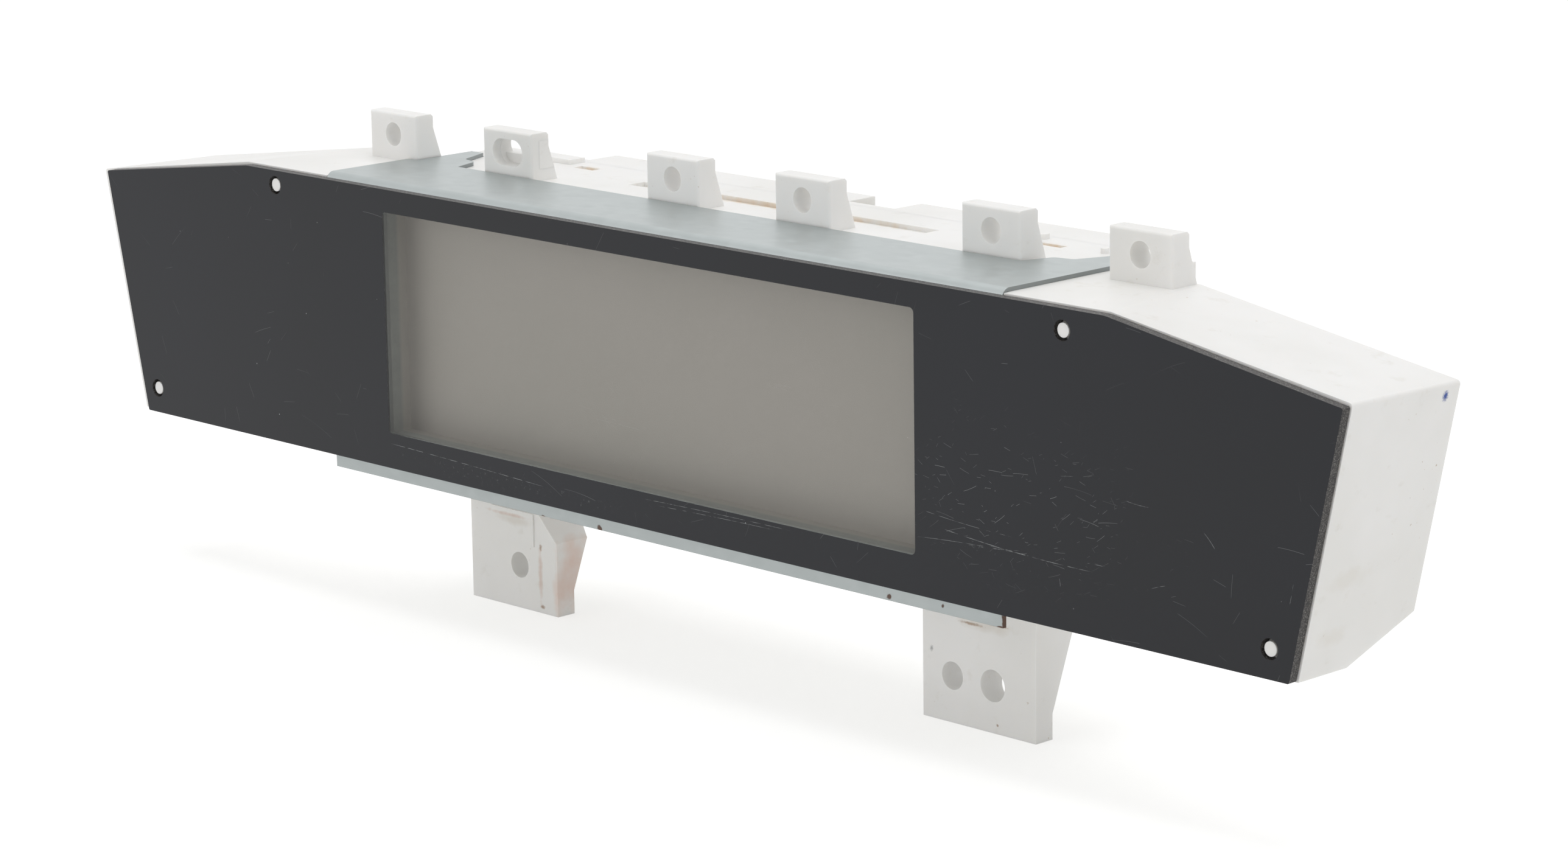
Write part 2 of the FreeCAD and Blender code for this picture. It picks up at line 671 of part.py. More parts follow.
def add_lugs(body):
    """Six fixing lugs along the top, in three pairs: each a plate that flares back into a foot."""
    lug = grow(body, "YZ", f"{LUGS[0]} - lug_width / 2", "lug_width", [
        (LUG_FRONT, f"{TOP} - box_top_wall / 2"),
        (f"{LUG_BACK} + lug_flare_depth", f"{TOP} - box_top_wall / 2"),
        (f"{LUG_BACK} + lug_flare_depth", TOP),
        (LUG_BACK, f"{TOP} + lug_flare_height"),
        (LUG_BACK, f"{TOP} + lug_height - lug_chamfer"),
        (f"{LUG_BACK} - lug_chamfer", f"{TOP} + lug_height"),
        (LUG_FRONT, f"{TOP} + lug_height"),
    ])
    repeat_along_x(body, lug, (2, "lug_pair_pitch"), (3, f"2 * ({BOX_HALF} - lug_group_inset)"))
    front = number(LUG_FRONT)
    foot = number(f"{TOP} + lug_chamfer")
    soften(body, "lug_edge_radius",
           lambda a, b: near(a.y, front) and near(b.y, front) and max(a.z, b.z) > foot)
    height = f"({TOP} + lug_hole_height)"
    carve(body, "XZ", LUG_FRONT, "lug_thickness + lug_flare_depth",
          circles=[(place, height, "lug_hole_diameter") for place in LUGS if place != SLOTTED_LUG],
          slots=[(SLOTTED_LUG, height, "lug_slot_length", "lug_slot_width")])
    carve(body, "XZ", f"{LUG_FRONT} + lug_slot_wall", "lug_thickness", slots=[
        (SLOTTED_LUG, height, "lug_slot_length + lug_slot_relief", "lug_slot_width + lug_slot_relief")])
    start = f"({LUG_BACK} - lug_chamfer)"
    right = f"({LUGS[-1]} + lug_width / 2 - lug_block_inset)"
    low = f"{TOP} - wing_wall / 2"
    block_top = f"{TOP} + lug_block_height"
    grow(body, "XZ", start, f"{WING_BACK} - {start}",
         rectangle(f"{right} - lug_block_width", low, right, block_top))
    grow(body, "XZ", start, f"({WING_BACK} - {start}) / 2",
         rectangle(f"{right} - lug_block_width", low, right, f"{block_top} + lug_block_step"))


def add_tabs(body):
    """Two fixing tabs below the box, each with a gusset that runs back under it."""
    foot = f"({BOTTOM} - tab_drop)"
    profile = [
        (LUG_FRONT, foot),
        (LUG_BACK, foot),
        (LUG_BACK, f"{foot} + tab_straight"),
        (f"{LUG_BACK} + tab_gusset_depth", BOTTOM),
        (f"{LUG_BACK} + tab_gusset_depth", f"{BOTTOM} + box_wall / 2"),
        (LUG_FRONT, f"{BOTTOM} + box_wall / 2"),
    ]
    left_centre = f"(-({BOX_HALF} - left_tab_inset))"
    right_centre = f"({BOX_HALF} - right_tab_inset)"
    grow(body, "YZ", f"{left_centre} - left_tab_width / 2", "left_tab_width", profile)
    grow(body, "YZ", f"{right_centre} - right_tab_width / 2", "right_tab_width", profile)
    depth = "lug_thickness + tab_gusset_depth"
    side = f"({left_centre} + left_tab_width / 2)"
    corner = f"({BOTTOM} - tab_corner_drop)"
    carve(body, "XZ", LUG_FRONT, depth, [
        (f"{side} - tab_corner_cut", BOTTOM),
        (f"{side} - tab_corner_cut", corner),
        (side, f"{corner} - tab_corner_cut"),
        (f"{side} + tab_corner_cut", f"{corner} - tab_corner_cut"),
        (f"{side} + tab_corner_cut", BOTTOM),
    ])
    level = f"({BOTTOM} - tab_hole_drop)"
    carve(body, "XZ", LUG_FRONT, depth, circles=[
        (f"({left_centre} + left_tab_hole_shift)", level, "tab_hole_diameter"),
        (f"({right_centre} - right_tab_hole_shift)", level, "tab_hole_diameter"),
        (f"({right_centre} + right_tab_wide_hole_shift)", level, "tab_wide_hole_diameter"),
    ])
    grow(body, "XZ", f"{LUG_FRONT} - tab_pad_relief", "2 * tab_pad_relief", rectangle(
        f"{left_centre} - tab_pad_width / 2", f"{corner} - tab_pad_height",
        f"{left_centre} + tab_pad_width / 2", corner))


def add_top_forms(body):
    """Grooves, low pads and the slots for the bracket's hooks, on the top of the box."""
    def strip(left, length, setback, width):
        front = f"{BOX_BACK} - {setback}"
        return rectangle(left, front, f"{left} + {length}", f"{front} + {width}")

    carve(body, "XY", f"{TOP} - groove_depth", "groove_depth",
          strip("-long_groove_left", "long_groove_left + long_groove_right",
                "long_groove_setback", "long_groove_width"),
          strip(f"{BOX_HALF} - right_groove_inset", "right_groove_length",
                "right_groove_setback", "right_groove_width"),
          strip(f"-{BOX_HALF} + left_groove_inset", "left_groove_length",
                "left_groove_setback", "left_groove_width"))
    grow(body, "XY", f"{TOP} - box_top_wall / 2", "top_pad_height + box_top_wall / 2",
         strip(f"-{BOX_HALF} + left_pad_inset", "left_pad_length", "left_pad_setback", "left_pad_width"),
         circles=[(f"({BOX_HALF} - stud_inset)", f"({BOX_BACK} - stud_setback)", "stud_diameter"),
                  (f"({BOX_HALF} - knob_inset)", f"({BOX_BACK} - knob_setback)", "knob_diameter")])
    hook_slots = [spread(side, f"{BOX_HALF} - hook_inset - hook_width - clearance",
                         f"{BOX_HALF} - hook_inset + clearance",
                         f"{HOOK_BACK} - sheet - clearance", f"{HOOK_BACK} + clearance") for side in (-1, 1)]
    carve(body, "XY", f"{TOP} - hook_length - clearance", "hook_length + clearance", *hook_slots)


def make_housing():
    """White moulding with two wings, the display's box, lugs, tabs and panel pegs."""
    body = new_body("housing")
    add_wings(body)
    add_box(body)
    back = number(BOX_FRONT)
    top = number(TOP)
    soften(body, "bracket_bend_radius + clearance",
           lambda a, b: near(a.y, back) and near(b.y, back) and near(a.z, top) and near(b.z, top))
    add_lugs(body)
    add_tabs(body)
    add_top_forms(body)
    grow(body, "XZ", "peg_recess", f"{WING_FRONT} - peg_recess + wing_wall / 2",
         circles=[(*peg, "peg_diameter") for peg in PEGS])
    return body


def make_bracket():
    """Folded steel sheet: a face with the window's opening, a lip below it and a top with two ears."""
    body = new_body("bracket")
    top = f"({TOP} + sheet)"
    grow(body, "XZ", "panel_thickness", "sheet",
         rectangle(f"-{BOX_HALF}", f"{BOTTOM} - bracket_lip", BOX_HALF, top))
    ear_inner = f"({LUGS[4]} + lug_width / 2 + ear_gap)"
    ear_step = f"({ear_inner} + ear_step_width)"
    shelf = f"({SHELF_BACK} + ear_shelf_length)"
    ear = [
        (f"{ear_step} + ear_radius", HOOK_BACK),
        (f"{ear_step} - ear_radius", shelf),
        (f"{ear_inner} + 1.4 * ear_radius", f"{shelf} - ear_radius / 2"),
        (ear_inner, SHELF_BACK),
    ]
    left_ear = [(f"-({across})", depth) for across, depth in reversed(ear)]
    beside_lug = f"{LUGS[0]} + lug_width / 2 + ear_gap"
    grow(body, "XY", TOP, "sheet", [
        (BOX_HALF, "panel_thickness"), (BOX_HALF, HOOK_BACK), *ear, *left_ear,
        (beside_lug, HOOK_BACK), (beside_lug, SHELF_BACK),
        (f"-{BOX_HALF}", SHELF_BACK), (f"-{BOX_HALF}", "panel_thickness")])
    deep = number(f"{SHELF_BACK} + ear_shelf_length / 2")
    hook_level = number(HOOK_BACK)
    soften(body, "ear_radius", lambda a, b: near(a.x, b.x) and near(a.y, b.y) and deep < a.y < hook_level - 1)
    low = number(TOP)
    high = number(top)
    front = number("panel_thickness")
    back = number(BOX_FRONT)
    soften(body, "bracket_bend_radius",
           lambda a, b: near(a.z, low) and near(b.z, low) and near(a.y, back) and near(b.y, back))
    soften(body, "bracket_bend_radius + sheet",
           lambda a, b: near(a.z, high) and near(b.z, high) and near(a.y, front) and near(b.y, front))
    carve(body, "XZ", "panel_thickness", "sheet", rectangle(
        "-(window_width / 2 + bracket_window_margin)", "-(window_height / 2 + bracket_window_sill)",
        "window_width / 2 + bracket_window_margin", "window_height / 2 + bracket_window_sill"))
    grow(body, "XZ", f"{HOOK_BACK} - sheet", "sheet", *[
        spread(side, f"{BOX_HALF} - hook_inset - hook_width", f"{BOX_HALF} - hook_inset",
               f"{TOP} - hook_length", f"{TOP} + sheet / 2") for side in (-1, 1)])
    return body


def make_layers():
    """What lies behind the window, front to back, and the frame that keeps it in line."""
    opening_half = "(window_width / 2 + bracket_window_margin)"
    opening_rise = "(window_height / 2 + bracket_window_sill)"
    glass_outline = rectangle(f"-{GLASS_HALF}", GLASS_BOTTOM, GLASS_HALF, GLASS_TOP)
    gasket = slab("window_gasket", BOX_FRONT, "gasket_thickness", glass_outline)
    carve(gasket, "XZ", BOX_FRONT, "gasket_thickness",
          rectangle(f"-{opening_half}", f"-{opening_rise}", opening_half, opening_rise))
    film_rise = f"({opening_rise} + film_border)"
    film_half = f"({opening_half} + guide_border)"
    guide_half = "(window_width / 2 + guide_border)"
    view = rectangle(f"-{film_half}", f"-{film_rise}", film_half, film_rise)
    lit = rectangle(f"-{guide_half}", f"-{film_rise}", guide_half, film_rise)
    layers = [
        gasket,
        slab("front_polariser", f"{BOX_FRONT} + gasket_thickness", "film", view),
        slab("front_glass", GLASS_FRONT, "glass", glass_outline),
        slab("rear_glass", REAR_GLASS, "glass",
             rectangle(f"-{GLASS_HALF}", f"-{GLASS_TOP}", GLASS_HALF, GLASS_TOP)),
        slab("rear_polariser", f"{REAR_GLASS} + glass", "film", view),
        slab("diffuser", DIFFUSER, "diffuser_thickness", view),
        slab("light_guide", GUIDE, "guide_thickness", lit),
        slab("reflector", f"{BOARD_FRONT} - film", "film", lit),
        slab("contact_strip", REAR_GLASS, f"{BOARD_FRONT} - {REAR_GLASS}", rectangle(
            f"-{guide_half}", f"-({GLASS_TOP} + clearance + contact_width)",
            guide_half, f"-({GLASS_TOP} + clearance)")),
    ]
    outer_half = f"({GLASS_HALF} + clearance + holder_wall)"
    inner_half = f"({GLASS_HALF} + clearance)"
    depth = f"{BOARD_FRONT} - {BOX_FRONT}"
    holder = slab("display_holder", BOX_FRONT, depth, rectangle(
        f"-{outer_half}", f"{GLASS_BOTTOM} - clearance - holder_lip",
        outer_half, f"{GLASS_TOP} + clearance + holder_lip"))
    carve(holder, "XZ", BOX_FRONT, depth, rectangle(
        f"-{inner_half}", f"{GLASS_BOTTOM} - clearance", inner_half, f"{GLASS_TOP} + clearance"))
    lamps = []
    inner = f"{guide_half} + clearance"
    for start in (inner, f"-({inner} + lamp_width)"):
        for row_number in (-1, 0, 1):
            lamps.append(box("lamp", start, f"{BOARD_FRONT} - guide_thickness + lamp_seat",
                             f"({row_number}) * window_height / 3 - lamp_height / 2",
                             "lamp_width", "guide_thickness - lamp_seat", "lamp_height"))
    return [*layers, holder, group("backlight_lamps", lamps)]


def make_screws(name, places, seat, toward):
    """Hexagon-head screws on one level: the head stands on the seat, the shank runs toward +Y or -Y."""
    head_front, shank_front = seat, f"{seat} - screw_length"
    if toward > 0:
        head_front, shank_front = f"{seat} - screw_head_height", seat
    screws = []
    for across, up in places:
        head = doc.addObject("Part::Prism", f"{name}_head")
        head.Polygon = 6
        head.setExpression("Circumradius", on_sheet("screw_head_across / sqrt(3)"))
        head.setExpression("Height", on_sheet("screw_head_height"))
        head.Placement = FreeCAD.Placement(Vector(), FreeCAD.Rotation(Vector(1, 0, 0), -90))
        place_at(head, across, head_front, up)
        screw = doc.addObject("Part::Fuse", f"{name}_piece")
        screw.Base = head
        screw.Tool = rod(f"{name}_shank", across, shank_front, up,
                         "screw_diameter - 2 * screw_thread_depth", "screw_length")
        screws.append(screw)
    return group(name, screws)


def make_boards():
    """Display board on the columns, main board behind it on four spacers."""
    half = f"({INNER_HALF} - board_edge_gap / 2)"
    screw_hole = "screw_diameter + clearance"
    display = slab("display_board", BOARD_FRONT, "board", rectangle(
        f"-{half}", f"{INNER_BOTTOM} + board_edge_gap / 4", half, f"{INNER_TOP} - board_edge_gap / 4"))
    carve(display, "XZ", BOARD_FRONT, "board", circles=[(*place, screw_hole) for place in COLUMNS])
    top = f"({INNER_TOP} - board_edge_gap)"
    bottom = f"({INNER_BOTTOM} + board_edge_gap)"
    main = slab("main_board", MAIN_FRONT, "board", rectangle(f"-{BOARD_HALF}", bottom, BOARD_HALF, top))
    posts = [(f"(({side}) * ({BOARD_HALF} - spacer_inset))", level)
             for side in (-1, 1) for level in (f"({top} - spacer_inset)", f"({bottom} + spacer_inset)")]
    carve(main, "XZ", MAIN_FRONT, "board", circles=[(*post, screw_hole) for post in posts])
    spacers = []
    for across, up in posts:
        cut = doc.addObject("Part::Cut", "spacer_piece")
        cut.Base = rod("spacer", across, BOARD_BACK, up, "spacer_diameter", "board_gap")
        cut.Tool = rod("spacer_bore", across, BOARD_BACK, up, "column_bore", "board_gap")
        spacers.append(cut)
    return [display, main, group("board_spacers", spacers),
            make_screws("display_board_screws", COLUMNS, BOARD_FRONT, 1),
            make_screws("main_board_screws", posts, MAIN_BACK, -1)]


def make_components():
    """Chips, cans and the pin strip on the two boards."""
    chips = []
    for step in (-1, 0, 1):
        middle = f"({step}) * driver_spacing"
        chips.append(block(f"driver_{step + 2}",
                           rectangle(f"{middle} - driver_width / 2", "-driver_height / 2",
                                     f"{middle} + driver_width / 2", "driver_height / 2"),
                           BOARD_BACK, "driver_thickness", "driver_thickness / 5"))
    cans = []
    for step in range(3):
        across = f"({BLOCK_LEFT} + cover_thickness + capacitor_inset + {step} * capacitor_spacing)"
        can = new_body(f"capacitor_{step + 1}")
        grow(can, "XZ", MAIN_BACK, "capacitor_length", circles=[(across, LOW_ROW, "capacitor_diameter")])
        break_rim(can, f"{MAIN_BACK} + capacitor_length", "capacitor_diameter / 12")
        cans.append(can)
    choke = new_body("choke")
    across = f"({BOARD_HALF} - choke_inset)"
    grow(choke, "XZ", MAIN_BACK, "choke_height", circles=[(across, "choke_rise", "choke_diameter")])
    carve(choke, "XZ", f"{MAIN_BACK} + choke_height / 4", "choke_height",
          circles=[(across, "choke_rise", "choke_hollow")])
    return [
        group("driver_chips", chips),
        block("controller_chip",
              rectangle("-controller_left", "-controller_size / 3",
                        "-controller_left + controller_size", "2 * controller_size / 3"),
              MAIN_BACK, "controller_thickness", "controller_thickness / 5"),
        block("crystal",
              rectangle("-crystal_left", f"{LOW_ROW} - crystal_width / 2",
                        "-crystal_left + crystal_length", f"{LOW_ROW} + crystal_width / 2"),
              MAIN_BACK, "crystal_height", "crystal_height / 5"),
        group("capacitors", cans),
        choke,
        block("regulator",
              rectangle("regulator_left", f"{LOW_ROW} - regulator_height / 3",
                        "regulator_left + regulator_width", f"{LOW_ROW} + 2 * regulator_height / 3"),
              MAIN_BACK, "regulator_thickness", "regulator_thickness / 8"),
        slab("board_link", BOARD_BACK, "board_gap",
             rectangle("-link_length / 2", f"{LOW_ROW} - link_width / 2",
                       "link_length / 2", f"{LOW_ROW} + link_width / 2")),
    ]


def make_connectors():
    """Two shrouded sockets that face back through the cover, and the pins on each socket's floor."""
    made = []
    for name, (left, right, bottom, top, back) in CONNECTORS.items():
        socket = slab(name, MAIN_BACK, f"{back} - {MAIN_BACK}", rectangle(left, bottom, right, top))
        carve(socket, "XZ", f"{back} - socket_depth", "socket_depth",
              rectangle(f"{left} + socket_wall", f"{bottom} + socket_wall",
                        f"{right} - socket_wall", f"{top} - socket_wall"))
        count = math.floor(number(f"({top} - {bottom} - 2 * socket_wall) / pin_spacing"))
        pins = []
        for column in (-0.75, 0.75):
            for index in range(count):
                across = f"({left} + {right}) / 2 + ({column}) * pin_spacing - pin_size / 2"
                up = f"({bottom} + {top}) / 2 + ({index - (count - 1) / 2}) * pin_spacing - pin_size / 2"
                pins.append(box(f"{name}_pin", across, f"{back} - socket_depth", up,
                                "pin_size", "pin_length", "pin_size"))
        made += [socket, group(f"{name}_pins", pins)]
    return made


def make_cover():
    """White back cover: a hollow block over the tall parts, a connector notch, vents and screw holes."""
    body = slab("rear_cover", BOX_BACK, "cover_thickness", rectangle(f"-{BOX_HALF}", BOTTOM, BOX_HALF, TOP))
    floor = f"({BOTTOM} + cover_block_rise)"
    notch_left = "(cover_notch_centre - cover_notch_width / 2)"
    notch_right = "(cover_notch_centre + cover_notch_width / 2)"
    grow(body, "XZ", COVER_BACK, "cover_block_depth", rectangle(BLOCK_LEFT, floor, BLOCK_RIGHT, TOP))
    low = f"{floor} + cover_thickness"
    high = f"{TOP} - cover_thickness"
    carve(body, "XZ", BOX_BACK, "cover_block_depth",
          rectangle(f"{BLOCK_LEFT} + cover_thickness", low, f"{notch_left} - cover_thickness", high),
          rectangle(f"{notch_right} + cover_thickness", low, f"{BLOCK_RIGHT} - cover_thickness", high))
    carve(body, "XZ", COVER_BACK, "cover_block_depth",
          rectangle(notch_left, "-main_connector_drop - connector_play", notch_right, TOP))
    play = "connector_play / 2"
    carve(body, "XZ", BOX_BACK, "cover_thickness",
          *[rectangle(f"{left} - {play}", f"{bottom} - {play}", f"{right} + {play}", f"{top} + {play}")
            for left, right, bottom, top, back in CONNECTORS.values()],
          circles=[(*place, "screw_diameter + clearance") for place in COLUMNS])
    vent_left = f"({BLOCK_LEFT} + vent_inset)"
    vent = carve(body, "XZ", BOX_BACK, "cover_thickness + cover_block_depth",
                 rectangle(vent_left, "-vent_height / 2", f"{vent_left} + vent_width", "vent_height / 2"))
    repeat_along_x(body, vent, (int(SIZES["vent_count"]), "(vent_count - 1) * vent_spacing"))
    return body


def main():
    parts = [
        make_panel(),
        make_housing(),
        make_bracket(),
        make_tapes(),
        *make_layers(),
        *make_boards(),
        *make_components(),
        *make_connectors(),
        make_cover(),
        make_screws("cover_screws", COLUMNS, COVER_BACK, -1),
    ]
    doc.recompute()
    for item in doc.Objects:
        if "Invalid" in item.State or "Error" in item.State:
            raise RuntimeError(f"{item.Name} ({item.Label}) failed: {item.State}")
    for part in parts:
        if part.Shape.isNull() or not part.Shape.isValid():
            raise RuntimeError(f"{part.Label} has no valid shape")
    os.makedirs("parts", exist_ok=True)
    for part in parts:
        part.Shape.exportStep(f"parts/{part.Label}.step")
        print(part.Label, len(part.Shape.Solids), round(part.Shape.Volume, 1))


main()
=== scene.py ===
"""Looks, light and camera for the dashboard information display.

Metres, in the part's own frame: X to the right as the driver sees it, Y back into the dashboard, Z up.
The origin is the centre of the viewing window on the panel's front face.
"""
import json
import math

import bpy
import numpy as np
from mathutils import Matrix, Vector


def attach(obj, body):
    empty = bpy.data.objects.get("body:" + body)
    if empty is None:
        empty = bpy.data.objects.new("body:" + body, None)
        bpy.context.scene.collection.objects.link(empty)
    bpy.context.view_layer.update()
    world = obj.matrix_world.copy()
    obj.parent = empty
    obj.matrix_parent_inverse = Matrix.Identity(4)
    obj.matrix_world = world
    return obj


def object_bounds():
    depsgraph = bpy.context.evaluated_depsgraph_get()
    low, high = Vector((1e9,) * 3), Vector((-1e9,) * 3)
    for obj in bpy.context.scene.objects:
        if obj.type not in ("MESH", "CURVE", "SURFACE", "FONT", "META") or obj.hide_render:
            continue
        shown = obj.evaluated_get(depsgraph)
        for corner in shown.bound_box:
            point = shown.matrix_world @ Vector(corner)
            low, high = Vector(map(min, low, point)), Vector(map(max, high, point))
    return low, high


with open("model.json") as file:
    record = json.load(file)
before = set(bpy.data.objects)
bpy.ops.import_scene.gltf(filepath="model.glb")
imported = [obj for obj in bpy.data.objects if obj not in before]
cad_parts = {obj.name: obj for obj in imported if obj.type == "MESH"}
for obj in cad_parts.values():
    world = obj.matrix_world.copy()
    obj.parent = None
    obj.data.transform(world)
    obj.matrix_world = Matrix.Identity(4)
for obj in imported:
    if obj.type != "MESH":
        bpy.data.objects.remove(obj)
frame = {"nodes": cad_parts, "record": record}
cad_box = [list(corner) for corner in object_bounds()]

MM = 0.001

# The panel, the clear window in its print and the soft line of the print's rim, in mm.
PANEL_THICKNESS = 2.0
WINDOW_HALF = 75.0
WINDOW_RISE = 22.95
WINDOW_CORNER = 1.0
PRINT_BLUR = 0.04

# Long scratches on the panel, in mm: start, end, rise of the middle over the straight line, half width.
SCRATCHES = [
    ((80.5, -16.6), (118.5, -18.5), -0.55, 0.055),
    ((75.5, -19.3), (104.6, -18.1), 0.3, 0.035),
    ((88.0, -18.7), (101.0, -17.6), -0.2, 0.03),
    ((76.0, -14.0), (99.0, -15.4), -0.3, 0.03),
    ((143.8, -7.1), (146.3, -9.6), 0.1, 0.045),
    ((110.4, -21.0), (110.7, -22.5), 0.05, 0.04),
    ((116.9, -17.1), (121.2, -17.0), 0.0, 0.04),
    ((131.0, -19.5), (135.2, -18.0), 0.1, 0.035),
    ((163.6, -12.0), (162.8, -16.4), 0.1, 0.03),
    ((126.0, -4.4), (132.0, -4.7), -0.15, 0.035),
    ((-75.0, -25.1), (-27.0, -26.6), 0.1, 0.05),
    ((1.5, -24.3), (42.8, -23.8), 0.15, 0.04),
    ((6.0, -25.0), (38.0, -24.4), 0.1, 0.035),
    ((37.0, 3.2), (43.0, 2.9), 0.1, 0.04),
    ((-12.0, -10.5), (3.0, -10.8), 0.1, 0.03),
]

# Short scratches: cell and half width in mm, heading and fan in degrees, share of the cells, and curl. The first
# ones lie where the panel was rubbed, right of the window, and the others all over it.
RUBBED_STROKES = [
    (7.0, 0.035, -4.0, 40.0, 0.5, 0.12),
    (4.0, 0.03, -8.0, 60.0, 0.35, -0.1),
    (2.2, 0.025, 10.0, 110.0, 0.2, 0.0),
    (1.3, 0.02, -20.0, 90.0, 0.15, 0.0),
]
STRAY_STROKES = [
    (12.0, 0.03, -5.0, 90.0, 0.25, 0.15),
    (5.0, 0.03, 0.0, 180.0, 0.15, 0.0),
]

# Marks laid on the moulding, and painted shade: colour, strength, grit in mm, and each one's centre and reach in mm.
# Darker lines and spots on the tabs and the right flank, and a blue ink mark; the pale tan tints in the slots on the
# top and over the left tab's side are painted shade.
MOULDING_MARKS_AND_PAINTED_SHADE = [
    ("#9A7654", 0.75, 0.5, [((-56.8, 24.3, -48.6), (0.5, 1.0, 0.9)), ((66.0, 24.3, -42.3), (3.5, 1.0, 0.35)),
                            ((72.5, 24.3, -41.5), (3.0, 1.0, 0.3)), ((84.8, 24.3, -41.7), (0.35, 1.0, 0.3)),
                            ((72.5, 24.3, -60.9), (0.35, 1.0, 0.35)), ((-56.5, 24.3, -61.2), (0.8, 1.0, 0.5))]),
    ("#C9A088", 0.4, 1.5, [((-66.5, 24.3, -43.0), (8.0, 1.0, 0.5)), ((-57.0, 24.3, -54.5), (0.8, 1.0, 7.0))]),
    ("#C2B39C", 0.25, 2.5, [((70.0, 24.3, -42.0), (9.0, 1.5, 1.6)), ((-65.0, 24.3, -44.0), (8.0, 1.5, 1.2))]),
    ("#D2C8B4", 0.15, 2.5, [((166.0, 10.5, -13.0), (6.0, 7.0, 2.5)), ((164.0, 9.0, -23.5), (6.0, 5.0, 2.0))]),
    ("#77787A", 0.6, 0.5, [((55.5, 24.3, -49.0), (0.5, 1.0, 0.8)), ((57.0, 24.3, -63.0), (1.2, 1.0, 0.3))]),
    ("#2A4C9E", 1.0, 0.4, [((173.7, 27.8, 16.6), (1.5, 0.9, 1.2))]),
    # Painted shade: a warm tan tint in the long slot and the two small slots on the top, where shade falls.
    ("#E8D5BE", 0.85, 2.0, [((1.8, 37.6, 26.6), (46.0, 4.6, 1.9)), ((69.7, 42.3, 26.6), (5.0, 2.6, 1.9)),
                            ((-61.1, 43.5, 26.6), (4.5, 3.0, 1.9))]),
    # Painted shade: a warm tint over the left tab's side and gusset, where shade falls under the housing.
    ("#E2BDAA", 0.8, 6.0, [((-48.6, 29.0, -54.0), (4.5, 22.0, 34.0))]),
]

# Rust on the bracket's cut edges: centre and reach in mm.
RUST_SPOTS = [
    ((-13.2, 2.2, -33.2), (0.9, 0.6, 0.8)),
    ((66.3, 2.2, -32.6), (0.7, 0.6, 0.7)),
    ((80.0, 2.2, -31.9), (0.4, 0.6, 0.5)),
    ((-30.0, 2.4, -33.4), (0.6, 0.8, 0.3)),
    ((95.0, 2.4, -32.2), (0.5, 1.0, 1.8)),
    ((94.6, 2.4, -33.3), (1.4, 1.0, 0.3)),
]

# The second upper lug, in mm: its middle, half width and foot, the slot, the wider hollow behind its plate, how
# far the added walls lap over the joint and stand proud, and the web across the slot's lower half.
LUG_MIDDLE = (-63.85, 33.3)
LUG_HALF = 7.5
LUG_PLATE_BACK = 26.8
LUG_BACK = 28.9
LUG_TOP_OF_FLARE = 34.95
LUG_FLARE_SLOPE = 2.2 / 7.0
SLOT_REACH = 1.85
SLOT_RADIUS = 2.75
HOLLOW_REACH = 4.25
HOLLOW_RADIUS = 3.95
LAP = 0.4
PROUD = 0.02
WEB_FRONT = 27.8
WEB_TOP = 32.5

# The camera, from the photograph's lines: its place in mm, and its angles in degrees.
CAMERA_PLACE = (641.716, -581.330, 183.774)
CAMERA_AZIMUTH = 45.930
CAMERA_ELEVATION = 12.645
CAMERA_ROLL = -0.814
PHOTO_WIDTH = 2576
FOCAL_PIXELS = 7562.8
SENSOR_WIDTH = 36.0

# The floor: radius in metres, what it gives to all light and to the camera alone, and the ring in mm from the
# middle over which it turns all white.
FLOOR_RADIUS = 4.0
FLOOR_CORNERS = 96
FLOOR_BOUNCE = 0.08
FLOOR_GLOW = 0.3
FLOOR_WHITENS = (500.0, 1500.0)

# The light: the room's, and each lamp's name, place in metres, size in metres and power in watts.
ROOM_LIGHT = 0.56
LAMPS = [
    ("above", (0.0, 0.2, 1.3), 1.2, 6.6),
    ("right", (1.1, -0.2, 0.9), 0.9, 1.8),
    ("front", (-0.6, -1.4, 0.3), 1.0, 3.0),
]

TINY = 1e-9


def linear(hex_colour):
    """An sRGB hex colour as linear red, green, blue and alpha."""
    levels = [int(hex_colour[start:start + 2], 16) / 255 for start in (1, 3, 5)]
    return [level / 12.92 if level <= 0.04045 else ((level + 0.055) / 1.055) ** 2.4 for level in levels] + [1.0]


def add(tree, kind, inputs=None, **settings):
    """Adds a node with its settings, and gives each input a plain value or links it to a node or socket.

    A node stands for its first output, and a Mix node for its colour, which is the third.
    """
    node = tree.nodes.new(f"ShaderNode{kind}")
    for name, value in settings.items():
        setattr(node, name, value)
    for key, value in (inputs or {}).items():
        if isinstance(value, bpy.types.Node):
            value = value.outputs[2 if value.bl_idname == "ShaderNodeMix" else 0]
        if isinstance(value, bpy.types.NodeSocket):
            tree.links.new(value, node.inputs[key])
        else:
            node.inputs[key].default_value = value
    return node


def new_finish(name):
    """An empty material, its node tree, and the place on the piece in millimetres."""
    material = bpy.data.materials.new(name)
    material.use_nodes = True
    tree = material.node_tree
    tree.nodes.clear()
    coordinates = add(tree, "TexCoord")
    place = add(tree, "VectorMath", {0: coordinates.outputs["Object"], "Scale": 1 / MM}, operation="SCALE")
    return material, tree, place


def show(tree, shader):
    """Makes the shader the material's surface."""
    add(tree, "OutputMaterial", {"Surface": shader})


def stretched(tree, place, sizes):
    """The place divided by a pattern's sizes along each axis, in mm."""
    return add(tree, "VectorMath", {0: place, 1: sizes}, operation="DIVIDE")


def patches(tree, place, size, start, end, detail=3.0, roughness=0.55):
    """A mask of irregular patches about size mm wide: 0 where the noise is under start, 1 over end."""
    noise = add(tree, "TexNoise", {"Vector": place, "Scale": 1 / size, "Detail": detail, "Roughness": roughness})
    return add(tree, "MapRange", {"Value": noise, "From Min": start, "From Max": end})


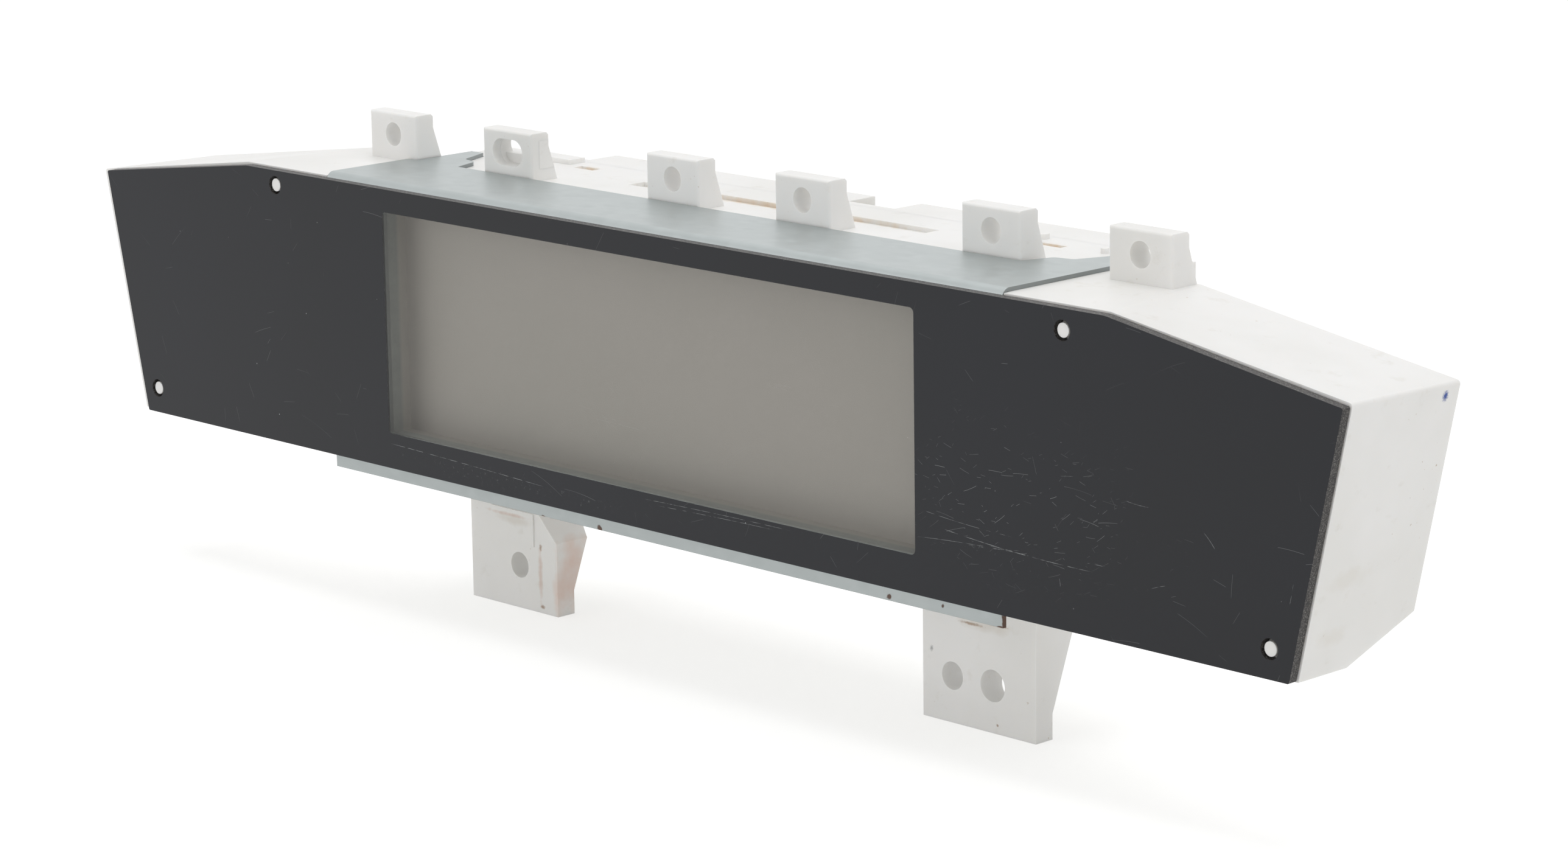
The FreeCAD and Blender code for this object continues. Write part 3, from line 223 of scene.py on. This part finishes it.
def spot(tree, place, centre, reach, ragged, grit, edge=0.35):
    """A mask of one mark: 1 inside an ellipsoid with the given reaches in mm, its rim broken by noise."""
    offset = add(tree, "VectorMath", {0: place, 1: centre}, operation="SUBTRACT")
    shrunk = add(tree, "VectorMath", {0: offset, 1: reach}, operation="DIVIDE")
    away = add(tree, "VectorMath", {0: shrunk}, operation="LENGTH")
    noise = add(tree, "TexNoise", {"Vector": place, "Scale": 1 / grit, "Detail": 3.0})
    broken = add(tree, "Math", {0: noise, 1: 2 * ragged, 2: -ragged}, operation="MULTIPLY_ADD")
    rim = add(tree, "Math", {0: away.outputs["Value"], 1: broken}, operation="ADD")
    return add(tree, "MapRange", {"Value": rim, "From Min": 1.0, "From Max": 1.0 - edge})


def either(tree, *masks):
    """The larger of several masks."""
    result = masks[0]
    for mask in masks[1:]:
        result = add(tree, "Math", {0: result, 1: mask}, operation="MAXIMUM")
    return result


def both(tree, *masks):
    """The product of several masks."""
    result = masks[0]
    for mask in masks[1:]:
        result = add(tree, "Math", {0: result, 1: mask}, operation="MULTIPLY")
    return result


def coat(tree, mask, below, above, strength=1.0):
    """A colour laid over another where the mask is 1, through a Mix node's colour inputs, 6 and 7."""
    amount = add(tree, "Math", {0: mask, 1: strength}, operation="MULTIPLY")
    return add(tree, "Mix", {0: amount, 6: below, 7: above}, data_type="RGBA")


def thinner(tree, value, reach, soft=0.4):
    """1 where a value lies within its reach of zero, falling to 0 at the reach."""
    size = add(tree, "Math", {0: value}, operation="ABSOLUTE")
    return add(tree, "MapRange", {"Value": size, "From Min": reach, "From Max": reach * soft})


def scratch(tree, sheet, start, end, rise, half_width):
    """A mask of one long shallow scratch: a slightly bowed line between two places on the panel."""
    run = (end[0] - start[0], end[1] - start[1])
    length = math.hypot(*run)
    middle = ((start[0] + end[0]) / 2, (start[1] + end[1]) / 2, 0.0)
    moved = add(tree, "VectorMath", {0: sheet, 1: middle}, operation="SUBTRACT")
    turned = add(tree, "VectorRotate", {"Vector": moved, "Angle": -math.atan2(run[1], run[0])}, rotation_type="Z_AXIS")
    parts = add(tree, "SeparateXYZ", {0: turned})
    squared = add(tree, "Math", {0: parts.outputs["X"], 1: parts.outputs["X"]}, operation="MULTIPLY")
    bow = add(tree, "Math", {0: squared, 1: 4 * rise / length ** 2, 2: -rise}, operation="MULTIPLY_ADD")
    across = add(tree, "Math", {0: parts.outputs["Y"], 1: bow}, operation="ADD")
    return both(tree, thinner(tree, across, half_width), thinner(tree, parts.outputs["X"], length / 2, 0.8))


def strokes(tree, sheet, cell, half_width, heading, fan, share, curl):
    """A mask of many short scratches: in each chosen cell, mm wide, one line at its own angle and length.

    The angles fan out about the heading, in degrees, share is how many cells have a line, and curl bends it.
    """
    scaled = add(tree, "VectorMath", {0: sheet, "Scale": 1 / cell}, operation="SCALE")
    cells = add(tree, "TexVoronoi", {"Vector": scaled, "Scale": 1.0}, voronoi_dimensions="2D")
    chance = add(tree, "SeparateColor", {0: cells.outputs["Color"]})
    moved = add(tree, "VectorMath", {0: scaled, 1: cells.outputs["Position"]}, operation="SUBTRACT")
    angle = add(tree, "Math", {0: chance.outputs["Red"], 1: math.radians(fan),
                               2: math.radians(heading - fan / 2)}, operation="MULTIPLY_ADD")
    turned = add(tree, "VectorRotate", {"Vector": moved, "Angle": angle}, rotation_type="Z_AXIS")
    parts = add(tree, "SeparateXYZ", {0: turned})
    squared = add(tree, "Math", {0: parts.outputs["X"], 1: parts.outputs["X"]}, operation="MULTIPLY")
    across = add(tree, "Math", {0: squared, 1: curl, 2: parts.outputs["Y"]}, operation="MULTIPLY_ADD")
    reach = add(tree, "MapRange", {"Value": chance.outputs["Green"], "To Min": 0.08, "To Max": 0.45})
    along = add(tree, "Math", {0: parts.outputs["X"]}, operation="ABSOLUTE")
    inside = add(tree, "Math", {0: along, 1: reach}, operation="LESS_THAN")
    chosen = add(tree, "Math", {0: chance.outputs["Blue"], 1: share}, operation="LESS_THAN")
    return both(tree, thinner(tree, across, half_width / cell), inside, chosen)


def window_mask(tree, place, wider=0.0):
    """1 inside the clear window, made wider by some mm, where the way out of an inner rectangle stays under the
    corners' radius."""
    reach = add(tree, "VectorMath", {0: place}, operation="ABSOLUTE")
    inner = (WINDOW_HALF - WINDOW_CORNER + wider, 1000.0, WINDOW_RISE - WINDOW_CORNER + wider)
    over = add(tree, "VectorMath", {0: reach, 1: inner}, operation="SUBTRACT")
    past = add(tree, "VectorMath", {0: over, 1: (0.0, 0.0, 0.0)}, operation="MAXIMUM")
    away = add(tree, "VectorMath", {0: past}, operation="LENGTH")
    return add(tree, "MapRange", {"Value": away.outputs["Value"], "From Min": WINDOW_CORNER + PRINT_BLUR,
                                  "From Max": WINDOW_CORNER - PRINT_BLUR})


def masked_acrylic():
    """Cast acrylic printed black round a clear window: deep black gloss, fine bright scratches, and gritty sawn edges
    whose pale grit is partly painted glints.
    """
    material, tree, place = new_finish("printed_cast_acrylic")
    geometry = add(tree, "NewGeometry")
    facing = add(tree, "VectorMath", {0: geometry.outputs["Normal"]}, operation="ABSOLUTE")
    sides = add(tree, "SeparateXYZ", {0: facing})
    flat = add(tree, "Math", {0: sides.outputs["Y"], 1: 0.5}, operation="GREATER_THAN")
    parts = add(tree, "SeparateXYZ", {0: place})
    sheet = add(tree, "CombineXYZ", {"X": parts.outputs["X"], "Y": parts.outputs["Z"]})
    behind = add(tree, "Math", {0: parts.outputs["Y"], 1: PANEL_THICKNESS / 2}, operation="GREATER_THAN")

    # Wear: long scratches, short ones thick right of the window and thin elsewhere, and dust.
    long_ones = either(tree, *[scratch(tree, sheet, *line) for line in SCRATCHES])
    dashed = both(tree, long_ones, patches(tree, place, 2.0, 0.42, 0.58))
    rubbed = spot(tree, place, (98.0, 0.0, -9.0), (38.0, 9.0, 17.0), 0.7, 9.0, edge=0.9)
    handled = patches(tree, place, 30.0, 0.45, 0.65)
    faint = add(tree, "Math", {0: handled, 1: 0.55}, operation="MULTIPLY")
    short_ones = either(tree, *[both(tree, strokes(tree, sheet, *sizes), where)
                                for where, table in ((rubbed, RUBBED_STROKES), (faint, STRAY_STROKES))
                                for sizes in table])
    rub_band = both(tree, patches(tree, place, 0.8, 0.6, 0.7, detail=5.0),
                    spot(tree, place, (-40.0, 0.0, -27.4), (42.0, 9.0, 2.2), 0.8, 6.0, edge=0.8))
    cells = add(tree, "TexVoronoi", {"Vector": place, "Scale": 1 / 4.5})
    dust = both(tree, add(tree, "MapRange", {"Value": cells, "From Min": 0.035, "From Max": 0.02}),
                patches(tree, place, 9.0, 0.5, 0.6))
    marks = either(tree, dashed, short_ones, dust, add(tree, "Math", {0: rub_band, 1: 0.25}, operation="MULTIPLY"))

    # The glossy front over the black print, and the print's matt back.
    black = coat(tree, patches(tree, place, 60.0, 0.35, 0.65), linear("#060912"), linear("#080C17"))
    face = coat(tree, marks, black, linear("#C4C7C8"), 0.55)
    rough = add(tree, "MapRange", {"Value": marks, "To Min": 0.12, "To Max": 0.5})
    front = add(tree, "BsdfPrincipled", {"Base Color": face, "Roughness": rough, "IOR": 1.49})
    ink = add(tree, "BsdfPrincipled", {"Base Color": linear("#0A0A0B"), "Roughness": 0.6, "IOR": 1.5})
    printed = add(tree, "MixShader", {0: behind, 1: front, 2: ink})

    # The clear window: what is behind shows through, and the outer faces reflect the room.
    clear = add(tree, "BsdfTransparent", {"Color": linear("#FAFBFA")})
    gloss = add(tree, "BsdfGlossy", {"Color": linear("#FFFFFF"), "Roughness": 0.06})
    fresnel = add(tree, "Fresnel", {"IOR": 1.49})
    outside = add(tree, "Math", {0: 1.0, 1: geometry.outputs["Backfacing"]}, operation="SUBTRACT")
    pane = add(tree, "MixShader", {0: both(tree, fresnel, outside), 1: clear, 2: gloss})
    haze = add(tree, "BsdfDiffuse", {"Color": linear("#E8E8E4")})
    amount = add(tree, "Math", {0: marks, 1: 0.3}, operation="MULTIPLY")
    scratched = add(tree, "MixShader", {0: amount, 1: pane, 2: haze})
    window = add(tree, "Mix", {0: behind, 2: window_mask(tree, place), 3: window_mask(tree, place, 3.0)})
    faces = add(tree, "MixShader", {0: window.outputs[0], 1: printed, 2: scratched})

    # Sawn edges: dark with fine pale grit, partly real grit and partly painted glints, and a rougher skin.
    grit = patches(tree, place, 0.26, 0.5, 0.6, detail=5.0, roughness=0.75)
    tone = coat(tree, grit, linear("#201D1D"), linear("#9C9994"), 0.5)
    sawn = add(tree, "TexNoise", {"Vector": place, "Scale": 1 / 0.3, "Detail": 3.0})
    relief = add(tree, "Bump", {"Height": sawn, "Distance": 0.15 * MM, "Strength": 0.6})
    edge = add(tree, "BsdfPrincipled", {"Base Color": tone, "Roughness": 0.45, "Normal": relief, "IOR": 1.49})

    show(tree, add(tree, "MixShader", {0: flat, 1: edge, 2: faces}))
    return material


def moulded_abs(name="moulded_white_abs", depth=0.6):
    """White ABS, injection moulded: soft satin shine, faint mottling, light soil, a few marks, and painted shade: a
    warm tint in the slots on the top and over the left tab's side.
    Light sinks in by depth, a share of 1; a thin wall set into the moulding has none, so that no seam shows."""
    material, tree, place = new_finish(name)
    tone = coat(tree, patches(tree, place, 30.0, 0.4, 0.65), linear("#F5F4F2"), linear("#EFEEEB"))
    grime = patches(tree, place, 5.0, 0.6, 0.78, detail=6.0, roughness=0.65)
    soiled = coat(tree, grime, tone, linear("#CDC6B8"), 0.3)
    specks = both(tree, patches(tree, place, 0.8, 0.72, 0.78, detail=2.0), patches(tree, place, 18.0, 0.5, 0.6))
    colour = coat(tree, specks, soiled, linear("#A98F6C"), 0.6)
    # Each row of the table coats the colour inside its spots; the pale tan rows are painted shade.
    for shade, strength, grit, marks_and_painted_shade in MOULDING_MARKS_AND_PAINTED_SHADE:
        mask = either(tree, *[spot(tree, place, centre, reach, 0.6, grit, edge=0.7) for centre, reach in marks_and_painted_shade])
        colour = coat(tree, mask, colour, linear(shade), strength)
    grain = add(tree, "TexNoise", {"Vector": place, "Scale": 1 / 0.7, "Detail": 3.0})
    relief = add(tree, "Bump", {"Height": grain, "Distance": 0.03 * MM, "Strength": 0.35})
    rough = add(tree, "MapRange", {"Value": grime, "To Min": 0.42, "To Max": 0.6})
    show(tree, add(tree, "BsdfPrincipled", {"Base Color": colour, "Roughness": rough, "Normal": relief, "IOR": 1.53,
                                            "Subsurface Weight": depth, "Subsurface Radius": (1.0, 0.95, 0.9),
                                            "Subsurface Scale": 0.6 * MM}))
    return material


def galvanised_sheet():
    """Hot-dip galvanised sheet, rolled and folded: grey with faint crystals and soft shine, rust at cut edges."""
    material, tree, place = new_finish("galvanised_steel_sheet")
    spangle = add(tree, "TexVoronoi", {"Vector": stretched(tree, place, (2.6, 2.0, 2.0)), "Scale": 1.0},
                  feature="SMOOTH_F1")
    crystals = add(tree, "SeparateColor", {0: spangle.outputs["Color"]})
    rolled = add(tree, "TexNoise", {"Vector": stretched(tree, place, (40.0, 0.5, 0.5)), "Scale": 1.0, "Detail": 3.0})
    zinc = coat(tree, crystals.outputs["Red"], linear("#B2B8B8"), linear("#B9BFBF"))
    lined = coat(tree, rolled, zinc, linear("#AAB0B0"), 0.3)
    facing = add(tree, "SeparateXYZ", {0: add(tree, "NewGeometry").outputs["Normal"]})
    side = add(tree, "Math", {0: facing.outputs["X"]}, operation="ABSOLUTE")
    sheared = add(tree, "MapRange", {"Value": side, "From Min": 0.8, "From Max": 0.95})
    lined = coat(tree, sheared, lined, linear("#7C8080"), 0.7)
    rust = either(tree, *[spot(tree, place, centre, reach, 0.8, 0.8) for centre, reach in RUST_SPOTS])
    colour = coat(tree, rust, lined, linear("#5E4030"), 0.9)
    metal = add(tree, "MapRange", {"Value": rust, "To Min": 1.0, "To Max": 0.0})
    shine = add(tree, "MapRange", {"Value": crystals.outputs["Green"], "To Min": 0.38, "To Max": 0.44})
    rough = add(tree, "Mix", {0: rust, 2: shine, 3: 0.85})
    rounded = add(tree, "Bevel", {"Radius": 0.15 * MM}, samples=4)
    relief = add(tree, "Bump", {"Height": rolled, "Distance": 0.015 * MM, "Strength": 0.3, "Normal": rounded})
    show(tree, add(tree, "BsdfPrincipled", {"Base Color": colour, "Metallic": metal, "Roughness": rough.outputs[0],
                                            "Normal": relief}))
    return material


def unlit_display():
    """Polariser film over an unlit liquid crystal cell: flat warm grey with a faint silky sheen."""
    material, tree, place = new_finish("unlit_polariser_film")
    colour = coat(tree, patches(tree, place, 70.0, 0.35, 0.65), linear("#A8A09B"), linear("#A39C96"))
    show(tree, add(tree, "BsdfPrincipled", {"Base Color": colour, "Roughness": 0.5, "IOR": 1.5}))
    return material


def plain_finish(name, colour, other, size, roughness, metallic=0.0, ior=1.5, bump=0.0, **more):
    """A material in two near colours, patched at a size in mm, with a bump in mm of the same pattern."""
    material, tree, place = new_finish(name)
    pattern = patches(tree, place, size, 0.35, 0.65)
    shaded = coat(tree, pattern, linear(colour), linear(other))
    inputs = {"Base Color": shaded, "Roughness": roughness, "Metallic": metallic, "IOR": ior, **more}
    if bump:
        inputs["Normal"] = add(tree, "Bump", {"Height": pattern, "Distance": bump * MM, "Strength": 0.5})
    show(tree, add(tree, "BsdfPrincipled", inputs))
    return material


def framing_polycarbonate_painted_light():
    """Moulded polycarbonate frame: matt grey in front, with painted light behind: its rear part, against the display,
    is painted paler to stand in for the light that reaches it there.
    """
    material, tree, place = new_finish("moulded_polycarbonate_painted_light")
    depth = add(tree, "SeparateXYZ", {0: place})
    # Painted light: from 4.9 to 5.7 mm back the grey turns to a pale warm grey.
    behind = add(tree, "MapRange", {"Value": depth.outputs["Y"], "From Min": 4.9, "From Max": 5.7})
    grey = coat(tree, patches(tree, place, 2.0, 0.35, 0.65), linear("#868885"), linear("#8D8F8B"))
    colour = coat(tree, behind, grey, linear("#A19B95"))
    show(tree, add(tree, "BsdfPrincipled", {"Base Color": colour, "Roughness": 0.55}))
    return material


FINISHES = {
    "panel_acrylic": masked_acrylic(),
    "white_plastic": moulded_abs(),
    "zinc_steel": galvanised_sheet(),
    "display_face": unlit_display(),
    # Closed-cell foam: soft black with open grit.
    "black_foam": plain_finish("closed_cell_foam", "#1B1B1B", "#262626", 0.6, 0.9, bump=0.2),
    "grey_plastic": framing_polycarbonate_painted_light(),
    # Float glass seen at its edge: pale green and sharp.
    "display_glass": plain_finish("float_glass", "#C9D6D0", "#BFCFC8", 12.0, 0.05, ior=1.52),
    # Diffusing polyester film: milky white.
    "film": plain_finish("polyester_film", "#E6E6E2", "#DEDEDA", 4.0, 0.35),
    # Cast acrylic plate: pale and glossy.
    "clear_acrylic": plain_finish("clear_cast_acrylic", "#DCE4E4", "#D3DDDE", 20.0, 0.08, ior=1.49),
    # Conductive silicone strip: grey and dull.
    "silicone": plain_finish("conductive_silicone", "#6C6C6C", "#7A7A7A", 0.8, 0.8, ior=1.41, bump=0.05),
    # Epoxy-cast lamp: pale yellow, glossy.
    "lamp": plain_finish("cast_epoxy_lamp", "#EFE4B0", "#E8DB9C", 1.5, 0.2),
    # Glass-epoxy board under green lacquer: the weave shows faintly.
    "circuit_board": plain_finish("lacquered_glass_epoxy", "#1F5A34", "#256A3E", 0.9, 0.3, bump=0.02),
    # Turned nylon: natural white, waxy.
    "nylon": plain_finish("turned_nylon", "#DAD7CC", "#D1CEC2", 1.5, 0.45, ior=1.53),
    # Zinc-plated steel screws: bright with a faint warm cast.
    "screw_steel": plain_finish("zinc_plated_steel", "#C9C6BD", "#BDBAB1", 0.8, 0.3, metallic=1.0),
    # Moulded epoxy packages: charcoal with a fine grit.
    "chip_plastic": plain_finish("moulded_epoxy", "#232324", "#2C2C2D", 0.5, 0.6, bump=0.03),
    # Drawn nickel-plated can: satin silver.
    "can_metal": plain_finish("nickel_plated_can", "#C8C6BF", "#BDBBB4", 0.7, 0.25, metallic=1.0),
    # Shrunk vinyl sleeve: dark blue, glossy.
    "can_sleeve": plain_finish("shrunk_vinyl_sleeve", "#16233F", "#1B2A4A", 3.0, 0.3),
    # Sintered ferrite: near-black, stony.
    "ferrite": plain_finish("sintered_ferrite", "#2A2928", "#343230", 0.7, 0.7, bump=0.05),
    # Natural nylon socket: cream, satin.
    "connector_plastic": plain_finish("moulded_natural_nylon", "#D9D3BF", "#D0CAB5", 2.5, 0.45, ior=1.53),
    # Tin-plated brass pins: soft silver.
    "pin_tin": plain_finish("tin_plated_brass", "#CFCBC0", "#C3BFB4", 0.5, 0.28, metallic=1.0),
}

for piece in frame["record"]["subparts"]:
    for slot in frame["nodes"][piece["node"]].material_slots:
        slot.material = FINISHES[piece["material_slot"]]


def back_of_lug(height):
    """How far back the lug reaches at a height: a flat back above, and a foot that slopes back below."""
    return LUG_BACK + PROUD + LUG_FLARE_SLOPE * np.maximum(LUG_TOP_OF_FLARE - height, 0.0)


def round_ended(turn, reach, radius):
    """The rim of a slot with round ends, seen from its middle: at each angle, the way out along the ray to the
    flat sides, or where it misses them to the half circle about the nearer end."""
    across, up = np.cos(turn), np.sin(turn)
    flat = radius / np.maximum(np.abs(up), TINY)
    inner = reach * np.abs(across)
    curved = inner + np.sqrt(np.maximum(inner ** 2 - reach ** 2 + radius ** 2, 0.0))
    return np.where(flat * np.abs(across) <= reach, flat, curved)


def shell(name, front, rear, material):
    """A closed piece between two grids of points, in mm: both grids as faces, and a band round their rims.

    Its faces point outward where, seen from the front, the front grid's rows lead up and its columns to the
    right, or both are turned from that by the same angle.
    """
    rows, columns = front.shape[:2]
    points = np.concatenate([front.reshape(-1, 3), rear.reshape(-1, 3)]) * MM
    step = rows * columns
    faces = []
    for row in range(rows - 1):
        for column in range(columns - 1):
            first = row * columns + column
            quad = [first, first + 1, first + columns + 1, first + columns]
            faces.append(quad)
            faces.append([step + corner for corner in reversed(quad)])
    rim = list(range(columns))
    rim += [row * columns + columns - 1 for row in range(1, rows)]
    rim += [(rows - 1) * columns + column for column in range(columns - 2, -1, -1)]
    rim += [row * columns for row in range(rows - 2, 0, -1)]
    for one, other in zip(rim, rim[1:] + rim[:1]):
        faces.append([other, one, step + one, step + other])
    mesh = bpy.data.meshes.new(name)
    mesh.from_pydata([tuple(point) for point in points.tolist()], [], faces)
    mesh.validate()
    piece = bpy.data.objects.new(name, mesh)
    bpy.context.collection.objects.link(piece)
    mesh.materials.append(material)
    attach(piece, "root")


def back_the_slotted_lug():
    """The walls behind the second lug's slot, and the web that closes its lower half.

    A wall's points run from the slot's rim out past the hollow's rim along rays from the slot's middle, cut off
    at the lug's side, so that its edge laps over the joint. The web's points run up each column from the slot's
    lower rim to the web's level top.
    """
    middle, level = LUG_MIDDLE
    material = moulded_abs("moulded_white_abs_wall", 0.0)
    for name, start in (("lug_wall_right", 0.5), ("lug_wall_left", 1.5)):
        turn = np.linspace(start * np.pi, (start - 1.0) * np.pi, 97)[None, :]
        inner = round_ended(turn, SLOT_REACH, SLOT_RADIUS - PROUD)
        side = (LUG_HALF + PROUD) / np.maximum(np.abs(np.cos(turn)), TINY)
        outer = np.minimum(round_ended(turn, HOLLOW_REACH, HOLLOW_RADIUS + LAP), side)
        share = np.linspace(0.0, 1.0, 9)[:, None]
        away = inner + share * (outer - inner)
        across = middle + away * np.cos(turn)
        height = level + away * np.sin(turn)
        shell(name, np.stack([across, np.full_like(across, LUG_PLATE_BACK - LAP), height], axis=-1),
              np.stack([across, back_of_lug(height), height], axis=-1), material)
    drop = level - WEB_TOP
    half = SLOT_REACH + math.sqrt(SLOT_RADIUS ** 2 - drop ** 2) - PROUD
    offset = np.linspace(-half, half, 49)[None, :]
    past = np.maximum(np.abs(offset) - SLOT_REACH, 0.0)
    low = level - np.sqrt(SLOT_RADIUS ** 2 - past ** 2)
    share = np.linspace(0.0, 1.0, 7)[:, None]
    height = low + share * (WEB_TOP - low)
    across = middle + offset + 0.0 * height
    shell("lug_web", np.stack([across, np.full_like(across, WEB_FRONT), height], axis=-1),
          np.stack([across, back_of_lug(height), height], axis=-1), material)


def lay_floor():
    """A flat disc of paper under the tabs: its glow makes it white to the camera, more so far out, where the
    lamps hardly reach, and near the display it keeps the shadow."""
    ground = cad_box[0][2]
    ring = [(FLOOR_RADIUS * math.cos(turn), FLOOR_RADIUS * math.sin(turn), ground)
            for turn in (2 * math.pi * step / FLOOR_CORNERS for step in range(FLOOR_CORNERS))]
    mesh = bpy.data.meshes.new("floor")
    mesh.from_pydata(ring, [], [list(range(FLOOR_CORNERS))])
    floor = bpy.data.objects.new("floor", mesh)
    bpy.context.collection.objects.link(floor)
    material, tree, place = new_finish("white_studio_paper")
    paper = add(tree, "BsdfDiffuse", {"Color": linear("#F4F4F3")})
    bounce = add(tree, "Emission", {"Color": linear("#FFFFFF"), "Strength": FLOOR_BOUNCE})
    glow = add(tree, "Emission", {"Color": linear("#FFFFFF"), "Strength": FLOOR_GLOW})
    soft = add(tree, "AddShader", {0: paper, 1: bounce})
    lit = add(tree, "AddShader", {0: soft, 1: glow})
    away = add(tree, "VectorMath", {0: place}, operation="LENGTH")
    far = add(tree, "MapRange", {"Value": away.outputs["Value"], "From Min": FLOOR_WHITENS[0],
                                 "From Max": FLOOR_WHITENS[1]})
    white = add(tree, "Emission", {"Color": linear("#FFFFFF"), "Strength": 1.0})
    shown = add(tree, "MixShader", {0: far, 1: lit, 2: white})
    path = add(tree, "LightPath")
    seen = either(tree, path.outputs["Is Camera Ray"], path.outputs["Is Transmission Ray"])
    show(tree, add(tree, "MixShader", {0: seen, 1: soft, 2: shown}))
    mesh.materials.append(material)


def seen_directly(tree):
    """1 for what the camera sees, also in gloss and through clear pieces."""
    path = add(tree, "LightPath")
    return either(tree, path.outputs["Is Camera Ray"], path.outputs["Is Glossy Ray"],
                  path.outputs["Is Transmission Ray"])


def light_studio():
    """A pale room, and large soft lamps above, to the right and in front, all turned to the display."""
    world = bpy.data.worlds.new("pale_room")
    bpy.context.scene.world = world
    world.use_nodes = True
    tree = world.node_tree
    tree.nodes.clear()
    room = add(tree, "Background", {"Color": linear("#FFFFFF"), "Strength": ROOM_LIGHT})
    white = add(tree, "Background", {"Color": linear("#FFFFFF"), "Strength": 1.0})
    add(tree, "OutputWorld", {"Surface": add(tree, "MixShader", {0: seen_directly(tree), 1: room, 2: white})})
    for name, place, size, power in LAMPS:
        data = bpy.data.lights.new(name, "AREA")
        data.size = size
        data.energy = power
        lamp = bpy.data.objects.new(name, data)
        lamp.location = place
        lamp.rotation_euler = (-Vector(place)).to_track_quat("-Z", "Y").to_euler()
        bpy.context.collection.objects.link(lamp)


def place_camera():
    """A camera from azimuth, elevation and roll, at the place that the photograph's lines give."""
    azimuth = math.radians(CAMERA_AZIMUTH)
    elevation = math.radians(CAMERA_ELEVATION)
    roll = math.radians(CAMERA_ROLL)
    back = Vector((math.sin(azimuth) * math.cos(elevation), -math.cos(azimuth) * math.cos(elevation),
                   math.sin(elevation)))
    level = (-back).cross(Vector((0, 0, 1))).normalized()
    upright = level.cross(-back)
    right = level * math.cos(roll) + upright * math.sin(roll)
    up = upright * math.cos(roll) - level * math.sin(roll)
    data = bpy.data.cameras.new("camera")
    data.sensor_width = SENSOR_WIDTH
    data.lens = SENSOR_WIDTH * FOCAL_PIXELS / PHOTO_WIDTH
    data.clip_start = 0.01
    camera = bpy.data.objects.new("camera", data)
    camera.matrix_world = Matrix((
        (right.x, up.x, back.x, CAMERA_PLACE[0] * MM),
        (right.y, up.y, back.y, CAMERA_PLACE[1] * MM),
        (right.z, up.z, back.z, CAMERA_PLACE[2] * MM),
        (0.0, 0.0, 0.0, 1.0),
    ))
    bpy.context.collection.objects.link(camera)
    bpy.context.scene.camera = camera


back_the_slotted_lug()
lay_floor()
light_studio()
place_camera()
bpy.context.scene.view_settings.view_transform = "Standard"
